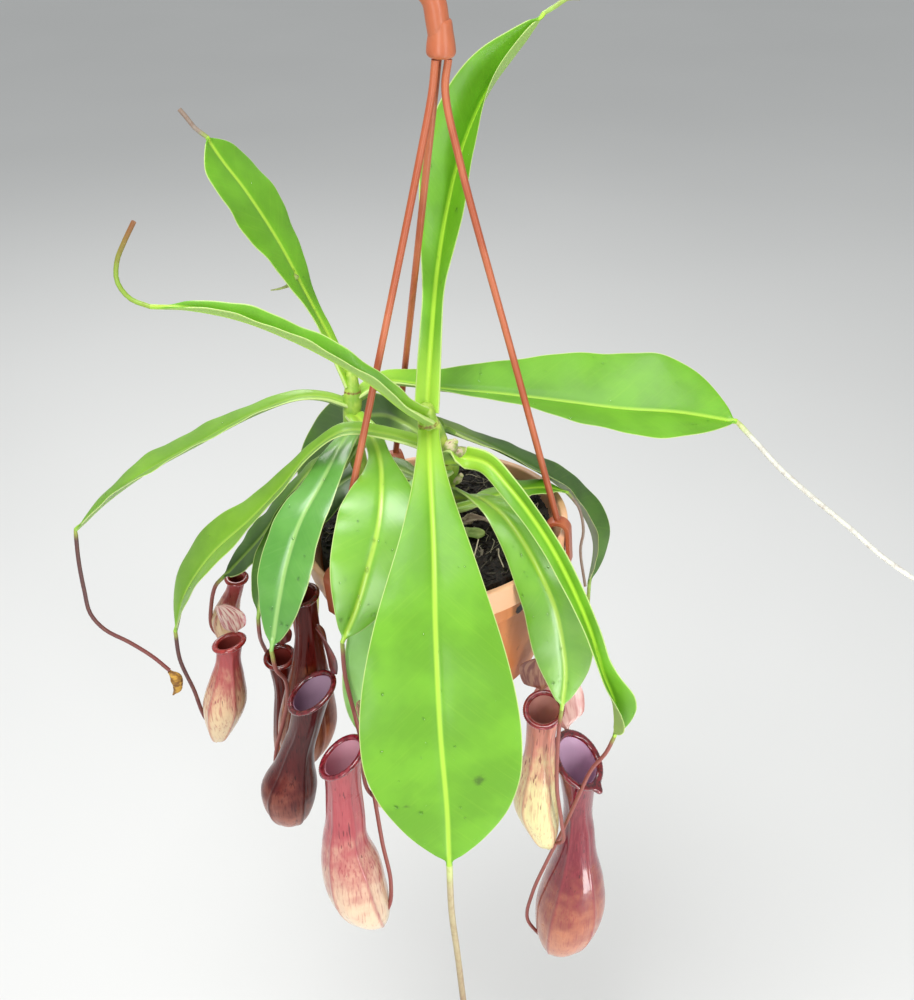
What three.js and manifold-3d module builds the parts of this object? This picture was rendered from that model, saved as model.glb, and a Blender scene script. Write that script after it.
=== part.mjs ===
// A pitcher plant growing in a plastic hanging pot, with the three-strand hanger that it hangs from.
// Units are millimetres and +Z is up. The plant is laid out round the middle of the pot's rim, and the
// finished group is moved so that the origin is the point where the hook rests on its bar.
import * as THREE from "three";
import { mergeVertices } from "three/addons/utils/BufferGeometryUtils.js";
import Module from "manifold-3d";

const wasm = await Module();
wasm.setup();

// Driving dimensions
const SEAT = 0.3; // gap between pieces that touch
const POT_RADIUS = 70; // a 14 cm pot
const POT_HEIGHT = 96;
const POT_TILT = 4.7; // degrees, the pot hangs with its right side a little high
const COLLAR_HEIGHT = 14.5;
const BAND_HEIGHT = 24;
const WALL = 2;
const LIP = 3.4; // thickness of the rim
const SOIL_DROP = 3; // soil surface below the rim
const DRAIN_RADIUS = 4;
const DRAIN_CIRCLE = 24;
const STRAND_RADIUS = 1.7;
const FOOT_ANGLES = [-15, -136, 110]; // where the three clips grip the rim, degrees
const GATHER = [3, 0, 218]; // where the strands would meet
const HOOK_FOOT = [5, 0, 236]; // underside of the hook's collar
const HOOK_BEND = 15; // radius of the hook's arc, on its centre line
const HOOK_RISE = 38; // from the collar's underside up to the arc's centre
const HOOK_LEAN = 5; // how far the arc's centre stands to the right of the collar
const HOOK_BAR = 4.4; // radius of the bar where the hook bears
const CLIP_GAP = 8.6; // inside width of the clip's arch
const CLIP_STRAP = 2.3;
const CLIP_DEPTH = 7;
const CLIP_LEG = 8; // reach of the inner leg below the rim
const CLIP_OUTER_LEG = 17; // the outer leg reaches below the collar
const CLIP_TOE = 2; // how far the toe hooks under the collar
const CLIP_RISE = 2; // the arch springs this far above the rim
const STRAND_SPREAD = 3.2; // distance of each strand from the others' middle, at the top
const BLADE = 0.8; // leaf thickness
const STALK = 2.4; // thickness of the leaf where it leaves its stem
const RIDGE = 1; // how far the midrib stands out below the blade
const RIPPLES = 26; // radians of the edge's wave along one leaf
const TENDRIL = 1.1; // radius of a tendril, unless its leaf gives another
const BLADE_STEP = 19; // spacing of the sections along a leaf
const TENDRIL_STEP = 21;
const PITCHER_SIDES = 12;
const PITCHER_WALL = 1;
const MOUTH_RINGS = 2.5; // the last rings that lean over into the mouth's plane
const SOIL_MOUND = 1.5; // the soil's middle is a little higher than its edge
const CRUMB = 1.6; // unevenness of the soil's surface
const MERGE = 1e-4; // points this close are one point

const UP = new THREE.Vector3(0, 0, 1);
const plant = new THREE.Group();

function vec(list) {
  return new THREE.Vector3(list[0], list[1], list[2]);
}

function radians(degrees) {
  return (degrees * Math.PI) / 180;
}

function smooth(x) {
  const t = Math.min(Math.max(x, 0), 1);
  return t * t * (3 - 2 * t);
}

// A small seeded generator, so that every build gives the same soil and knobs.
function seededRandom(seed) {
  let state = seed;
  return () => {
    state = (state * 1664525 + 1013904223) % 4294967296;
    return state / 4294967296;
  };
}

// Solids for joining and cutting

function toSolid(geometry, matrix = new THREE.Matrix4()) {
  const bare = new THREE.BufferGeometry();
  bare.setAttribute("position", geometry.getAttribute("position").clone());
  if (geometry.index) bare.setIndex(geometry.index.clone());
  bare.applyMatrix4(matrix);
  const merged = mergeVertices(bare, MERGE);
  const vertProperties = merged.attributes.position.array;
  const triVerts = new Uint32Array(merged.index.array);
  return new wasm.Manifold(new wasm.Mesh({ numProp: 3, vertProperties, triVerts }));
}

function toGeometry(solid) {
  const mesh = solid.getMesh();
  const geometry = new THREE.BufferGeometry();
  geometry.setAttribute("position", new THREE.BufferAttribute(mesh.vertProperties, 3));
  geometry.setIndex(new THREE.BufferAttribute(mesh.triVerts, 1));
  geometry.computeVertexNormals();
  return geometry;
}

// Keeps the biggest body, so a scrap cut loose on the far side of a stem is dropped.
function biggest(solid) {
  const bodies = solid.decompose();
  return bodies.reduce((a, b) => (b.volume() > a.volume() ? b : a));
}

function addNode(name, geometry, material) {
  const mesh = new THREE.Mesh(geometry, material);
  mesh.name = name;
  plant.add(mesh);
  return mesh;
}

// A closed skin over equal rings of points. The rings run along the piece, and each end is closed by a
// fan. From the point half to the end of a ring the faces are split the other way, which keeps the two
// faces of a thin blade alike.
function skin(rings, half = Infinity) {
  const count = rings[0].length;
  const points = rings.flat();
  const index = [];
  for (let r = 0; r < rings.length - 1; r++) {
    for (let i = 0; i < count; i++) {
      const a = r * count + i;
      const b = r * count + ((i + 1) % count);
      const c = a + count;
      const d = b + count;
      if (i < half) index.push(a, b, d, a, d, c);
      else index.push(a, b, c, b, d, c);
    }
  }
  const last = (rings.length - 1) * count;
  for (let i = 1; i < count - 1; i++) {
    index.push(0, i + 1, i);
    index.push(last, last + i, last + i + 1);
  }
  const geometry = new THREE.BufferGeometry().setFromPoints(points);
  geometry.setIndex(index);
  geometry.computeVertexNormals();
  return geometry;
}

// A round tube through the given points; radii are spread evenly along it.
function tube(points, radii, steps, sides = 8, extra = 0) {
  const curve = new THREE.CatmullRomCurve3(points.map(vec), false, "centripetal");
  const rings = [];
  let side = new THREE.Vector3(1, 0, 0);
  for (let s = 0; s <= steps; s++) {
    const t = s / steps;
    const along = curve.getTangentAt(t);
    side = side.clone().addScaledVector(along, -side.dot(along)).normalize();
    const other = new THREE.Vector3().crossVectors(along, side);
    const place = t * (radii.length - 1);
    const left = Math.min(Math.floor(place), radii.length - 2);
    const radius = THREE.MathUtils.lerp(radii[left], radii[left + 1], place - left) + extra;
    const centre = curve.getPointAt(t);
    const ring = [];
    for (let i = 0; i < sides; i++) {
      const angle = (2 * Math.PI * i) / sides;
      const point = centre.clone();
      point.addScaledVector(side, radius * Math.cos(angle));
      point.addScaledVector(other, radius * Math.sin(angle));
      ring.push(point);
    }
    rings.push(ring);
  }
  return skin(rings);
}

// Materials

const materials = {
  pot: new THREE.MeshStandardMaterial({ color: 0xc9703f, roughness: 0.5 }),
  hanger: new THREE.MeshStandardMaterial({ color: 0xc9694a, roughness: 0.45 }),
  soil: new THREE.MeshStandardMaterial({ color: 0x17110d, roughness: 0.95 }),
  stem: new THREE.MeshStandardMaterial({ color: 0x9cc53a, roughness: 0.5 }),
  leaf: new THREE.MeshStandardMaterial({ color: 0x6fae1f, roughness: 0.35 }),
  dryLeaf: new THREE.MeshStandardMaterial({ color: 0x8d8173, roughness: 0.9 }),
  root: new THREE.MeshStandardMaterial({ color: 0x9aa777, roughness: 0.8 }),
  dryBud: new THREE.MeshStandardMaterial({ color: 0xa9803a, roughness: 0.9 }),
  redPitcher: new THREE.MeshStandardMaterial({ color: 0x9c3a42, roughness: 0.35 }),
  creamPitcher: new THREE.MeshStandardMaterial({ color: 0xcf9c7e, roughness: 0.35 }),
};

// The pot and what is fixed to it are drawn about the rim's centre and then tilted.
const potTilt = new THREE.Matrix4().makeRotationY(radians(-POT_TILT));

// Radius and height of the pot's outside, from the bottom edge up to the collar.
const POT_OUTSIDE = [
  [36, -POT_HEIGHT],
  [42, -92],
  [50, -82],
  [54, -68],
  [61.5, -BAND_HEIGHT],
  [65.5, -BAND_HEIGHT],
  [66.5, -COLLAR_HEIGHT],
  [68.8, -COLLAR_HEIGHT],
  [POT_RADIUS, 0],
];

// The inside follows the outside at one wall's distance, without the steps of the collar.
const POT_INSIDE = [
  [POT_RADIUS - LIP, 0],
  [62.5, -COLLAR_HEIGHT],
  [59, -BAND_HEIGHT],
  [52, -68],
  [48, -81],
  [40.5, -90],
  [35, -POT_HEIGHT + WALL],
];

const LATHE_SEGMENTS = 30;

// LatheGeometry turns about Y, so its axis is stood up along Z.
function turned(profile, matrix = new THREE.Matrix4(), segments = LATHE_SEGMENTS) {
  const points = profile.map(([r, z]) => new THREE.Vector2(r, z));
  const geometry = new THREE.LatheGeometry(points, segments);
  geometry.rotateX(Math.PI / 2);
  return toSolid(geometry, matrix);
}

function makePot() {
  const profile = [
    [0, -POT_HEIGHT],
    ...POT_OUTSIDE,
    ...POT_INSIDE,
    [0, -POT_HEIGHT + WALL],
  ];
  let pot = turned(profile, potTilt);
  for (let i = 0; i < 4; i++) {
    const drain = new THREE.CylinderGeometry(DRAIN_RADIUS, DRAIN_RADIUS, 4 * WALL, 12);
    drain.rotateX(Math.PI / 2);
    const angle = (Math.PI / 2) * (i + 0.5);
    const x = DRAIN_CIRCLE * Math.cos(angle);
    const y = DRAIN_CIRCLE * Math.sin(angle);
    drain.translate(x, y, -POT_HEIGHT + WALL / 2);
    pot = pot.subtract(toSolid(drain, potTilt));
  }
  addNode("pot", toGeometry(pot), materials.pot);
}

// Stems: points along each, and its thickness with the swellings at old leaf scars

const STEMS = {
  main_stem: {
    points: [
      [8, -2, -30], [8, -3, 0], [6, -5, 24], [7, -8, 40], [3, -12, 54], [-2, -15, 68],
      [-3, -15, 76],
    ],
    radii: [4.5, 4.5, 5, 4.4, 5.4, 4.6, 6, 5.2, 6, 4],
    steps: 18,
  },
  side_shoot: {
    points: [[-30, 4, -30], [-33, 4, 0], [-38, 6, 28], [-42, 8, 52], [-41, 12, 68], [-41, 14, 80]],
    radii: [4, 4, 3.6, 4, 3.8, 4.8, 4, 4.8, 3],
    steps: 16,
  },
};

// A pale root that leaves the main stem and dives into the soil.
const ROOT = {
  points: [[7, -6, 0], [12, -15, 0], [18, -24, 0], [21, -31, -4]],
  radii: [1.4, 1.2, 1],
  steps: 6,
};

function stemSolid(stem, extra) {
  return toSolid(tube(stem.points, stem.radii, stem.steps, 10, extra));
}

// Where a clip sits: its frame has x outward along the pot's radius, from the rim's outer edge.
function clipPlace(angle) {
  const turn = new THREE.Matrix4().makeRotationZ(radians(angle));
  const toRim = new THREE.Matrix4().makeTranslation(POT_RADIUS, 0, 0);
  return potTilt.clone().multiply(turn).multiply(toRim);
}

// The slot in the soil's edge for the clip's inner leg.
function legSlot(angle) {
  const deep = CLIP_LEG + SEAT;
  const slot = new THREE.BoxGeometry(CLIP_STRAP + 4 * SEAT, CLIP_DEPTH + 2 * SEAT, 2 * deep);
  slot.translate(SEAT - CLIP_GAP - CLIP_STRAP / 2, 0, 0);
  return toSolid(slot, clipPlace(angle));
}

// The soil is turned to fit the pot, its top raised in crumbs, and each stem stands in a plain hole.
function makeSoil() {
  const top = -SOIL_DROP;
  const profile = [
    [0, -POT_HEIGHT + WALL + SEAT],
    [34, -POT_HEIGHT + WALL + SEAT],
    [39.5, -90],
    [47, -81],
    [51, -68],
    [58, -BAND_HEIGHT],
    [61.5, -COLLAR_HEIGHT],
    [60, top],
    [50, top],
    [40, top],
    [28, top],
    [16, top],
    [0, top],
  ];
  const points = profile.map(([r, z]) => new THREE.Vector2(r, z));
  const geometry = new THREE.LatheGeometry(points, LATHE_SEGMENTS / 2);
  geometry.rotateX(Math.PI / 2);
  const bare = new THREE.BufferGeometry();
  bare.setAttribute("position", geometry.getAttribute("position"));
  bare.setIndex(geometry.index);
  const merged = mergeVertices(bare, MERGE);
  const position = merged.getAttribute("position");
  const random = seededRandom(7);
  for (let i = 0; i < position.count; i++) {
    if (position.getZ(i) < top - 0.1) continue;
    const mound = SOIL_MOUND * (1 - Math.hypot(position.getX(i), position.getY(i)) / POT_RADIUS);
    position.setZ(i, top + mound + CRUMB * (random() - 0.5));
  }
  let soil = toSolid(merged, potTilt);
  for (const stem of Object.values(STEMS)) soil = soil.subtract(stemSolid(stem, SEAT));
  for (const angle of FOOT_ANGLES) soil = soil.subtract(legSlot(angle));
  soil = biggest(soil.subtract(stemSolid(ROOT, SEAT)));
  addNode("soil", toGeometry(soil), materials.soil);
}

function makeStems() {
  for (const [name, stem] of Object.entries(STEMS)) {
    addNode(name, toGeometry(stemSolid(stem, 0)), materials.stem);
  }
}

// The hanger

// Strap of the clip in its own plane: x runs out along the pot's radius and y up, and the rim's outer
// edge is at the origin. A toe at the end of the outer leg catches under the pot's collar.
function clipSolid() {
  const inside = CLIP_GAP / 2;
  const outside = inside + CLIP_STRAP;
  const middle = SEAT - inside;
  const toeTop = -COLLAR_HEIGHT - SEAT;
  const shape = new THREE.Shape();
  shape.moveTo(middle + outside, CLIP_RISE);
  shape.absarc(middle, CLIP_RISE, outside, 0, Math.PI, false);
  shape.lineTo(middle - outside, -CLIP_LEG);
  shape.lineTo(middle - inside, -CLIP_LEG);
  shape.lineTo(middle - inside, CLIP_RISE);
  shape.absarc(middle, CLIP_RISE, inside, Math.PI, 0, true);
  shape.lineTo(middle + inside, toeTop);
  shape.lineTo(middle + inside - CLIP_TOE, toeTop);
  shape.lineTo(middle + inside - CLIP_TOE, -CLIP_OUTER_LEG);
  shape.lineTo(middle + outside, -CLIP_OUTER_LEG);
  shape.closePath();
  const options = { depth: CLIP_DEPTH, bevelEnabled: false, curveSegments: 8 };
  const strap = new THREE.ExtrudeGeometry(shape, options);
  strap.translate(0, 0, -CLIP_DEPTH / 2);
  strap.rotateX(Math.PI / 2);
  return strap;
}

function makeStrand(angle, number) {
  const place = clipPlace(angle);
  // The rod's foot sinks a millimetre into the top of the arch.
  const archTop = CLIP_RISE + CLIP_GAP / 2 + CLIP_STRAP - 1;
  const foot = new THREE.Vector3(SEAT - CLIP_GAP / 2, 0, archTop).applyMatrix4(place);
  const gather = vec(GATHER);
  const collar = vec(HOOK_FOOT);
  const outward = foot.clone().sub(gather).setZ(0).normalize();
  const top = collar.clone().addScaledVector(outward, STRAND_SPREAD);
  top.z -= SEAT;
  const bend = gather.clone().addScaledVector(outward, STRAND_SPREAD);
  // From the foot the rod runs straight, and it turns upright just below the hook's collar.
  const straight = bend.clone().lerp(foot, 0.12);
  const middle = foot.clone().lerp(straight, 0.5);
  const upright = bend.clone().lerp(top, 0.3);
  const route = [foot, middle, straight, upright, top].map((point) => point.toArray());
  const rod = toSolid(tube(route, [STRAND_RADIUS, STRAND_RADIUS], 16, 8));
  const strand = rod.add(toSolid(clipSolid(), place));
  addNode("strand_" + number, toGeometry(strand), materials.hanger);
}

// The hook rises from a flared collar, leans left and arches over to the right, where its tip ends.
function makeHook() {
  const [x, y, z] = HOOK_FOOT;
  const rise = [[x, y, z + 6], [x - 1.4, y, z + 15], [x - 3, y, z + 23], [x - 8.6, y, z + 31]];
  const centre = new THREE.Vector3(x + HOOK_LEAN, y, z + HOOK_RISE);
  const arc = [];
  for (let degrees = 175; degrees >= -35; degrees -= 30) {
    const angle = radians(degrees);
    arc.push([centre.x + HOOK_BEND * Math.cos(angle), y, centre.z + HOOK_BEND * Math.sin(angle)]);
  }
  const radii = [5, 5, 4.8, 4.6, HOOK_BAR, 4, 3.2];
  const bar = toSolid(tube([...rise, ...arc], radii, 20, 10));
  const profile = [[0, 0], [5, 0.4], [6.4, 2], [6.1, 6], [5.2, 11], [4.6, 16], [0, 16]];
  const flare = turned(profile, new THREE.Matrix4().makeTranslation(x, y, z), 16);
  addNode("hook", toGeometry(bar.add(flare)), materials.hanger);
}

// Leaves. Each grows from a stem along its midrib, widens into a blade and runs out in a tendril.
// rib and tendril: points along the midrib and the tendril. sides: directions of the left half, spread
// evenly along the rib. half: greatest half width, at the share peak of the blade's length. narrow: share
// of the length that stays as narrow as the stalk. fold: how far the left and the right half rise from
// flat, in degrees, and foldTip the same at the tip. pointed: how late the tip closes. spur: a small dry
// hook that stands out from the edge.

const LEAVES = {
  leaf_front: {
    tendrilRadius: 1.6,
    rib: [
      [-2, -20, 68], [-1, -42, 59], [1, -74, 38], [2, -102, 11], [4, -122, -31], [7, -131, -74],
      [8, -134, -109],
    ],
    tendril: [[9, -138, -138], [12, -139, -172], [15, -140, -208], [19, -140, -254]],
    sides: [[1, 0, 0]],
    half: 37.5,
    peak: 0.68,
    fold: [8, 8],
  },
  leaf_up: {
    rib: [
      [-3, -14, 74], [-1, 5, 101], [2, 37, 126], [7, 51, 153], [15, 59, 182], [27, 67, 206],
      [42, 74, 224], [53, 80, 238],
    ],
    tendril: [[59, 82, 241], [64, 83, 244], [70, 84, 244]],
    sides: [[-1, 0, 0], [-0.95, -0.2, 0], [-0.9, -0.1, 0.5], [-0.8, 0.1, 0.6]],
    half: 20,
    peak: 0.66,
    stalk: 6,
    fold: [10, 20],
    foldTip: [15, 125],
    arch: -0.05,
    narrow: 0.25,
  },
  leaf_right: {
    tendrilRadius: 1.4,
    rib: [
      [-40, 14, 67], [-25, 24, 71], [-12, 26, 69], [3, 26, 66], [34, 24, 64], [65, 20, 62],
      [95, 14, 61], [124, 8, 62], [152, 2, 60],
    ],
    tendril: [[162, 0, 50], [176, -4, 36], [198, -9, 18], [215, -13, 5], [232, -17, -9], [250, -21, -21]],
    sides: [[0, 1, 0.1]],
    half: 33,
    peak: 0.74,
    stalk: 6,
    fold: [26, 40],
    foldTip: [36, 8],
    arch: -0.05,
  },
  leaf_upper_left: {
    rib: [
      [-41, 14, 75], [-51, 20, 97], [-62, 24, 120], [-74, 28, 145], [-88, 31, 169], [-98, 33, 183],
      [-104, 34, 193],
    ],
    tendril: [[-109, 34, 197], [-112, 33, 202], [-115, 33, 206]],
    sides: [[-0.46, -0.85, 0.21]],
    half: 20.5,
    peak: 0.74,
    narrow: 0.25,
    stalk: 5,
    pointed: 3.6,
    fold: [4, 4],
    arch: -0.05,
    spur: [[-66, 24, 129], [-69, 23, 125], [-74, 22, 123], [-79, 22, 122]],
  },
  leaf_folded_left: {
    rib: [
      [-3, -18, 73], [-14, -34, 89], [-28, -40, 105], [-45, -42, 118], [-62, -41, 127],
      [-83, -39, 135], [-105, -37, 139], [-123, -35, 139],
    ],
    tendril: [[-132, -33, 142], [-137, -31, 149], [-136, -30, 158], [-132, -30, 166], [-126, -30, 176]],
    sides: [[0, -1, -0.2]],
    half: 7,
    peak: 0.5,
    stalk: 5,
    fold: [55, 55],
    arch: 0,
    pointed: 3,
  },
  leaf_lower_left: {
    rib: [
      [-40, 12, 64], [-55, 12, 69], [-67, 10, 70], [-90, 8, 62], [-121, 2, 47], [-147, -4, 34],
      [-169, -9, 19], [-185, -14, 5],
    ],
    tendril: [
      [-186, -16, -13], [-186, -17, -32], [-185, -18, -47], [-179, -18, -58], [-167, -18, -67],
      [-156, -18, -77], [-148, -18, -87],
    ],
    sides: [[0, -1, 0.12]],
    half: 17,
    peak: 0.65,
    stalk: 5,
    fold: [18, 18],
  },
  leaf_left: {
    rib: [
      [0, -14, 55], [-23, -20, 66], [-42, -24, 70], [-58, -24, 59], [-76, -22, 36], [-93, -22, 17],
      [-115, -22, -5], [-131, -24, -29], [-138, -28, -51],
    ],
    tendril: [[-138, -28, -71], [-133, -28, -93], [-130, -28, -111], [-124, -28, -127]],
    sides: [[0, -0.9, -0.1], [0.2, -1, -0.1], [0.4, -1, -0.35]],
    half: 19,
    peak: 0.78,
    narrow: 0.25,
    stalk: 6,
    fold: [22, 14],
    foldTip: [28, 8],
  },
  leaf_left_front: {
    rib: [
      [-41, 6, 55], [-47, -18, 55], [-54, -38, 48], [-63, -52, 36], [-70, -60, 17], [-75, -65, -4],
      [-80, -68, -30],
    ],
    tendril: [
      [-79, -67, -43], [-76, -60, -57], [-77, -56, -75], [-81, -54, -93], [-86, -53, -112],
      [-88, -53, -128], [-86, -58, -144], [-81, -68, -149],
    ],
    sides: [[0.9, -0.3, 0.2]],
    half: 13.8,
    peak: 0.62,
    stalk: 6,
  },
  leaf_centre_left: {
    rib: [
      [-40, 7, 62], [-32, -9, 62], [-26, -24, 56], [-24, -46, 50], [-25, -60, 40], [-30, -72, 23],
      [-36, -79, 4], [-43, -82, -13],
    ],
    tendril: [
      [-43, -79, -37], [-39, -78, -68], [-33, -81, -107], [-28, -89, -146], [-24, -95, -170],
      [-26, -97, -189], [-35, -95, -200],
    ],
    sides: [[1, 0, 0]],
    half: 20,
    peak: 0.55,
    stalk: 5,
    narrow: 0.22,
  },
  leaf_centre_under: {
    rib: [
      [5, -11, 41], [-10, -34, 41], [-18, -54, 33], [-23, -69, 12], [-28, -74, -20],
      [-34, -73, -56], [-38, -69, -88],
    ],
    tendril: [[-39, -64, -111], [-37, -61, -136], [-29, -58, -150]],
    sides: [[1, 0.1, 0]],
    half: 14,
    peak: 0.66,
    stalk: 6,
  },
  leaf_right_outer: {
    rib: [
      [7, -20, 52], [16, -26, 56], [26, -33, 57], [36, -44, 51], [46, -54, 42], [56, -62, 29],
      [66, -69, 11], [75, -74, -10], [84, -74, -40], [91, -71, -62], [94, -67, -89],
    ],
    tendril: [
      [91, -61, -108], [85, -57, -124], [79, -55, -148], [73, -50, -179], [65, -44, -215],
      [58, -40, -248], [56, -38, -276], [66, -38, -294],
    ],
    sides: [[0.8, -0.5, 0.3], [0.9, -0.3, 0.3], [0.9, -0.1, 0.3], [0.9, 0.1, 0.2]],
    half: 12,
    peak: 0.86,
    narrow: 0.68,
    stalk: 5.5,
    fold: [20, 10],
    foldTip: [20, 120],
  },
  leaf_right_inner: {
    rib: [
      [8, -10, 24], [16, -16, 29], [25, -25, 31], [35, -37, 29], [44, -48, 21], [52, -57, 9],
      [59, -61, -7], [64, -61, -29], [67, -61, -53], [66, -62, -75],
    ],
    tendril: [
      [65, -64, -90], [65, -65, -108], [66, -65, -131], [70, -62, -160], [72, -56, -183],
      [66, -50, -192],
    ],
    sides: [[0.8, -0.4, 0], [0.95, 0.2, -0.1]],
    half: 16,
    peak: 0.66,
    stalk: 5,
    fold: [12, 12],
  },
  leaf_back_right: {
    rib: [
      [6, -2, 60], [24, 12, 43], [45, 24, 24], [66, 32, 5], [82, 38, -18], [91, 42, -43],
      [90, 44, -74],
    ],
    tendril: [[90, 44, -102], [87, 40, -130], [85, 34, -158]],
    sides: [[-0.4, 0.9, 0.1], [0, 1, 0.2], [1, 0.4, 0]],
    half: 17,
    peak: 0.66,
    stalk: 9,
    fold: [5, 20],
    foldTip: [5, 62],
    narrow: 0.1,
  },
  leaf_small_right: {
    tendrilRadius: 0.8,
    rib: [[9, 0, 9], [24, 6, 10], [37, 12, 11], [50, 15, 12], [63, 15, 12], [71, 15, 9]],
    sides: [[-0.3, 0.95, 0]],
    half: 10,
    peak: 0.55,
    stalk: 4,
    fold: [5, 15],
    tendril: [[77, 13, 1], [80, 10, -12], [79, 9, -24], [83, 9, -49]],
  },
  leaf_back_left: {
    rib: [
      [1, -9, 53], [-15, 14, 52], [-29, 34, 46], [-46, 54, 30], [-60, 68, 2], [-70, 77, -36],
      [-76, 80, -72],
    ],
    tendril: [[-76, 80, -99], [-78, 76, -128]],
    sides: [[0.3, -0.9, 0], [0.6, -0.6, 0], [0.9, -0.1, 0]],
    half: 19,
    peak: 0.62,
    stalk: 6,
  },
  leaf_low_left: {
    rib: [
      [3, -2, 24], [-11, 8, 25], [-25, 18, 24], [-44, 14, 20], [-58, 2, 14], [-72, -18, 5],
      [-77, -34, -12],
    ],
    tendril: [
      [-74, -30, -38], [-74, -24, -71], [-74, -19, -102], [-75, -21, -128], [-75, -30, -137],
      [-75, -38, -131],
    ],
    sides: [[0.3, -0.95, 0], [0.5, -0.8, 0], [0.9, -0.3, 0]],
    half: 13,
    peak: 0.6,
    stalk: 4,
  },
  leaf_low_under_left: {
    rib: [[-41, 6, 46], [-50, -7, 38], [-65, -18, 28], [-77, -29, 9], [-87, -35, -14], [-91, -38, -34]],
    tendril: [
      [-93, -30, -50], [-95, -17, -68], [-93, -11, -84], [-88, -10, -104], [-87, -9, -128],
      [-87, -11, -146], [-87, -18, -156],
    ],
    sides: [[0.9, -0.3, 0.2]],
    half: 10,
    peak: 0.6,
    stalk: 4,
  },
  leaf_low_behind_left: {
    rib: [[-42, 10, 42], [-59, 7, 34], [-75, 2, 17], [-91, -4, -5], [-104, -6, -20], [-114, -7, -31]],
    tendril: [[-119, -5, -38], [-124, -1, -55], [-126, 2, -73], [-121, 3, -83]],
    sides: [[0, -1, 0], [0.3, -1, -0.2]],
    half: 14,
    peak: 0.66,
    stalk: 4,
  },
};

function halfWidth(leaf, t) {
  const { half, peak, narrow = 0, stalk = 5.5, pointed = 2.3 } = leaf;
  if (t < peak) return stalk + (half - stalk) * smooth((t - narrow) / (peak - narrow));
  return half * (1 - Math.pow((t - peak) / (1 - peak), pointed));
}

// Five places across the blade, from its left edge to its right one.
const ACROSS = [1, 0.5, 0, -0.5, -1];

// The ring of ten points round the leaf at one station: along the top from left to right and back below.
function leafRing(leaf, centre, along, t) {
  const { sides, fold = [8, 8], foldTip = fold, arch = -0.1, wave = 0.7 } = leaf;
  const cord = leaf.tendrilRadius ?? TENDRIL;
  const place = Math.min(t, 1) * (sides.length - 1);
  const before = Math.min(Math.floor(place), sides.length - 1);
  const after = Math.min(before + 1, sides.length - 1);
  const side = vec(sides[before]).lerp(vec(sides[after]), place - before);
  side.addScaledVector(along, -side.dot(along)).normalize();
  const face = new THREE.Vector3().crossVectors(along, side);
  const blade = t < 1 ? halfWidth(leaf, t) : 0;
  const width = Math.max(blade, cord);
  const round = smooth((4 * cord - width) / (3 * cord));
  const thick = THREE.MathUtils.lerp(STALK, BLADE, smooth(t / 0.25));
  const ring = [];
  for (const bottom of [false, true]) {
    const places = bottom ? [...ACROSS].reverse() : ACROSS;
    places.forEach((v, i) => {
      const rise = THREE.MathUtils.lerp(fold[v > 0 ? 0 : 1], foldTip[v > 0 ? 0 : 1], Math.min(t, 1));
      const angle = radians(rise);
      const ripple = wave * Math.sin(RIPPLES * t + (v > 0 ? 0 : 2)) * v * v * (width / leaf.half);
      let height = width * (Math.sin(angle) * Math.abs(v) + arch * v * v) + ripple;
      let reach = width * v * Math.cos(angle);
      // The thickness is measured square to each half of the blade, and straight down at the midrib.
      if (bottom) {
        height -= v === 0 ? thick + RIDGE : thick * Math.cos(angle);
        reach += thick * Math.sin(angle) * Math.sign(v);
      }
      // In the tendril the ten points stand evenly round a circle.
      const turn = radians(18 + 36 * (i + (bottom ? 5 : 0)));
      const flat = THREE.MathUtils.lerp(reach, cord * Math.cos(turn), round);
      const lift = THREE.MathUtils.lerp(height, cord * Math.sin(turn), round);
      ring.push(centre.clone().addScaledVector(side, flat).addScaledVector(face, lift));
    });
  }
  return ring;
}

function leafSolid(leaf) {
  const rings = [];
  const rib = new THREE.CatmullRomCurve3(leaf.rib.map(vec), false, "centripetal");
  const bladeSteps = Math.max(8, Math.round(rib.getLength() / BLADE_STEP));
  for (let s = 0; s <= bladeSteps; s++) {
    // Stations stand closer together towards the tip, where the blade closes.
    const t = 1 - Math.pow(1 - s / bladeSteps, 1.25);
    rings.push(leafRing(leaf, rib.getPointAt(t), rib.getTangentAt(t), t));
  }
  if (leaf.tendril) {
    const points = [leaf.rib[leaf.rib.length - 1], ...leaf.tendril];
    const curve = new THREE.CatmullRomCurve3(points.map(vec), false, "centripetal");
    const steps = Math.max(3, Math.round(curve.getLength() / TENDRIL_STEP));
    for (let s = 1; s <= steps; s++) {
      rings.push(leafRing(leaf, curve.getPointAt(s / steps), curve.getTangentAt(s / steps), 1));
    }
  }
  const blade = toSolid(skin(rings, ACROSS.length));
  if (!leaf.spur) return blade;
  return blade.add(toSolid(tube(leaf.spur, [1.4, 1, 0.6], 4, 6)));
}

// Pitchers. rings: centre and radius from the bottom up to the mouth. mouth: the way the opening faces.

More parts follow.
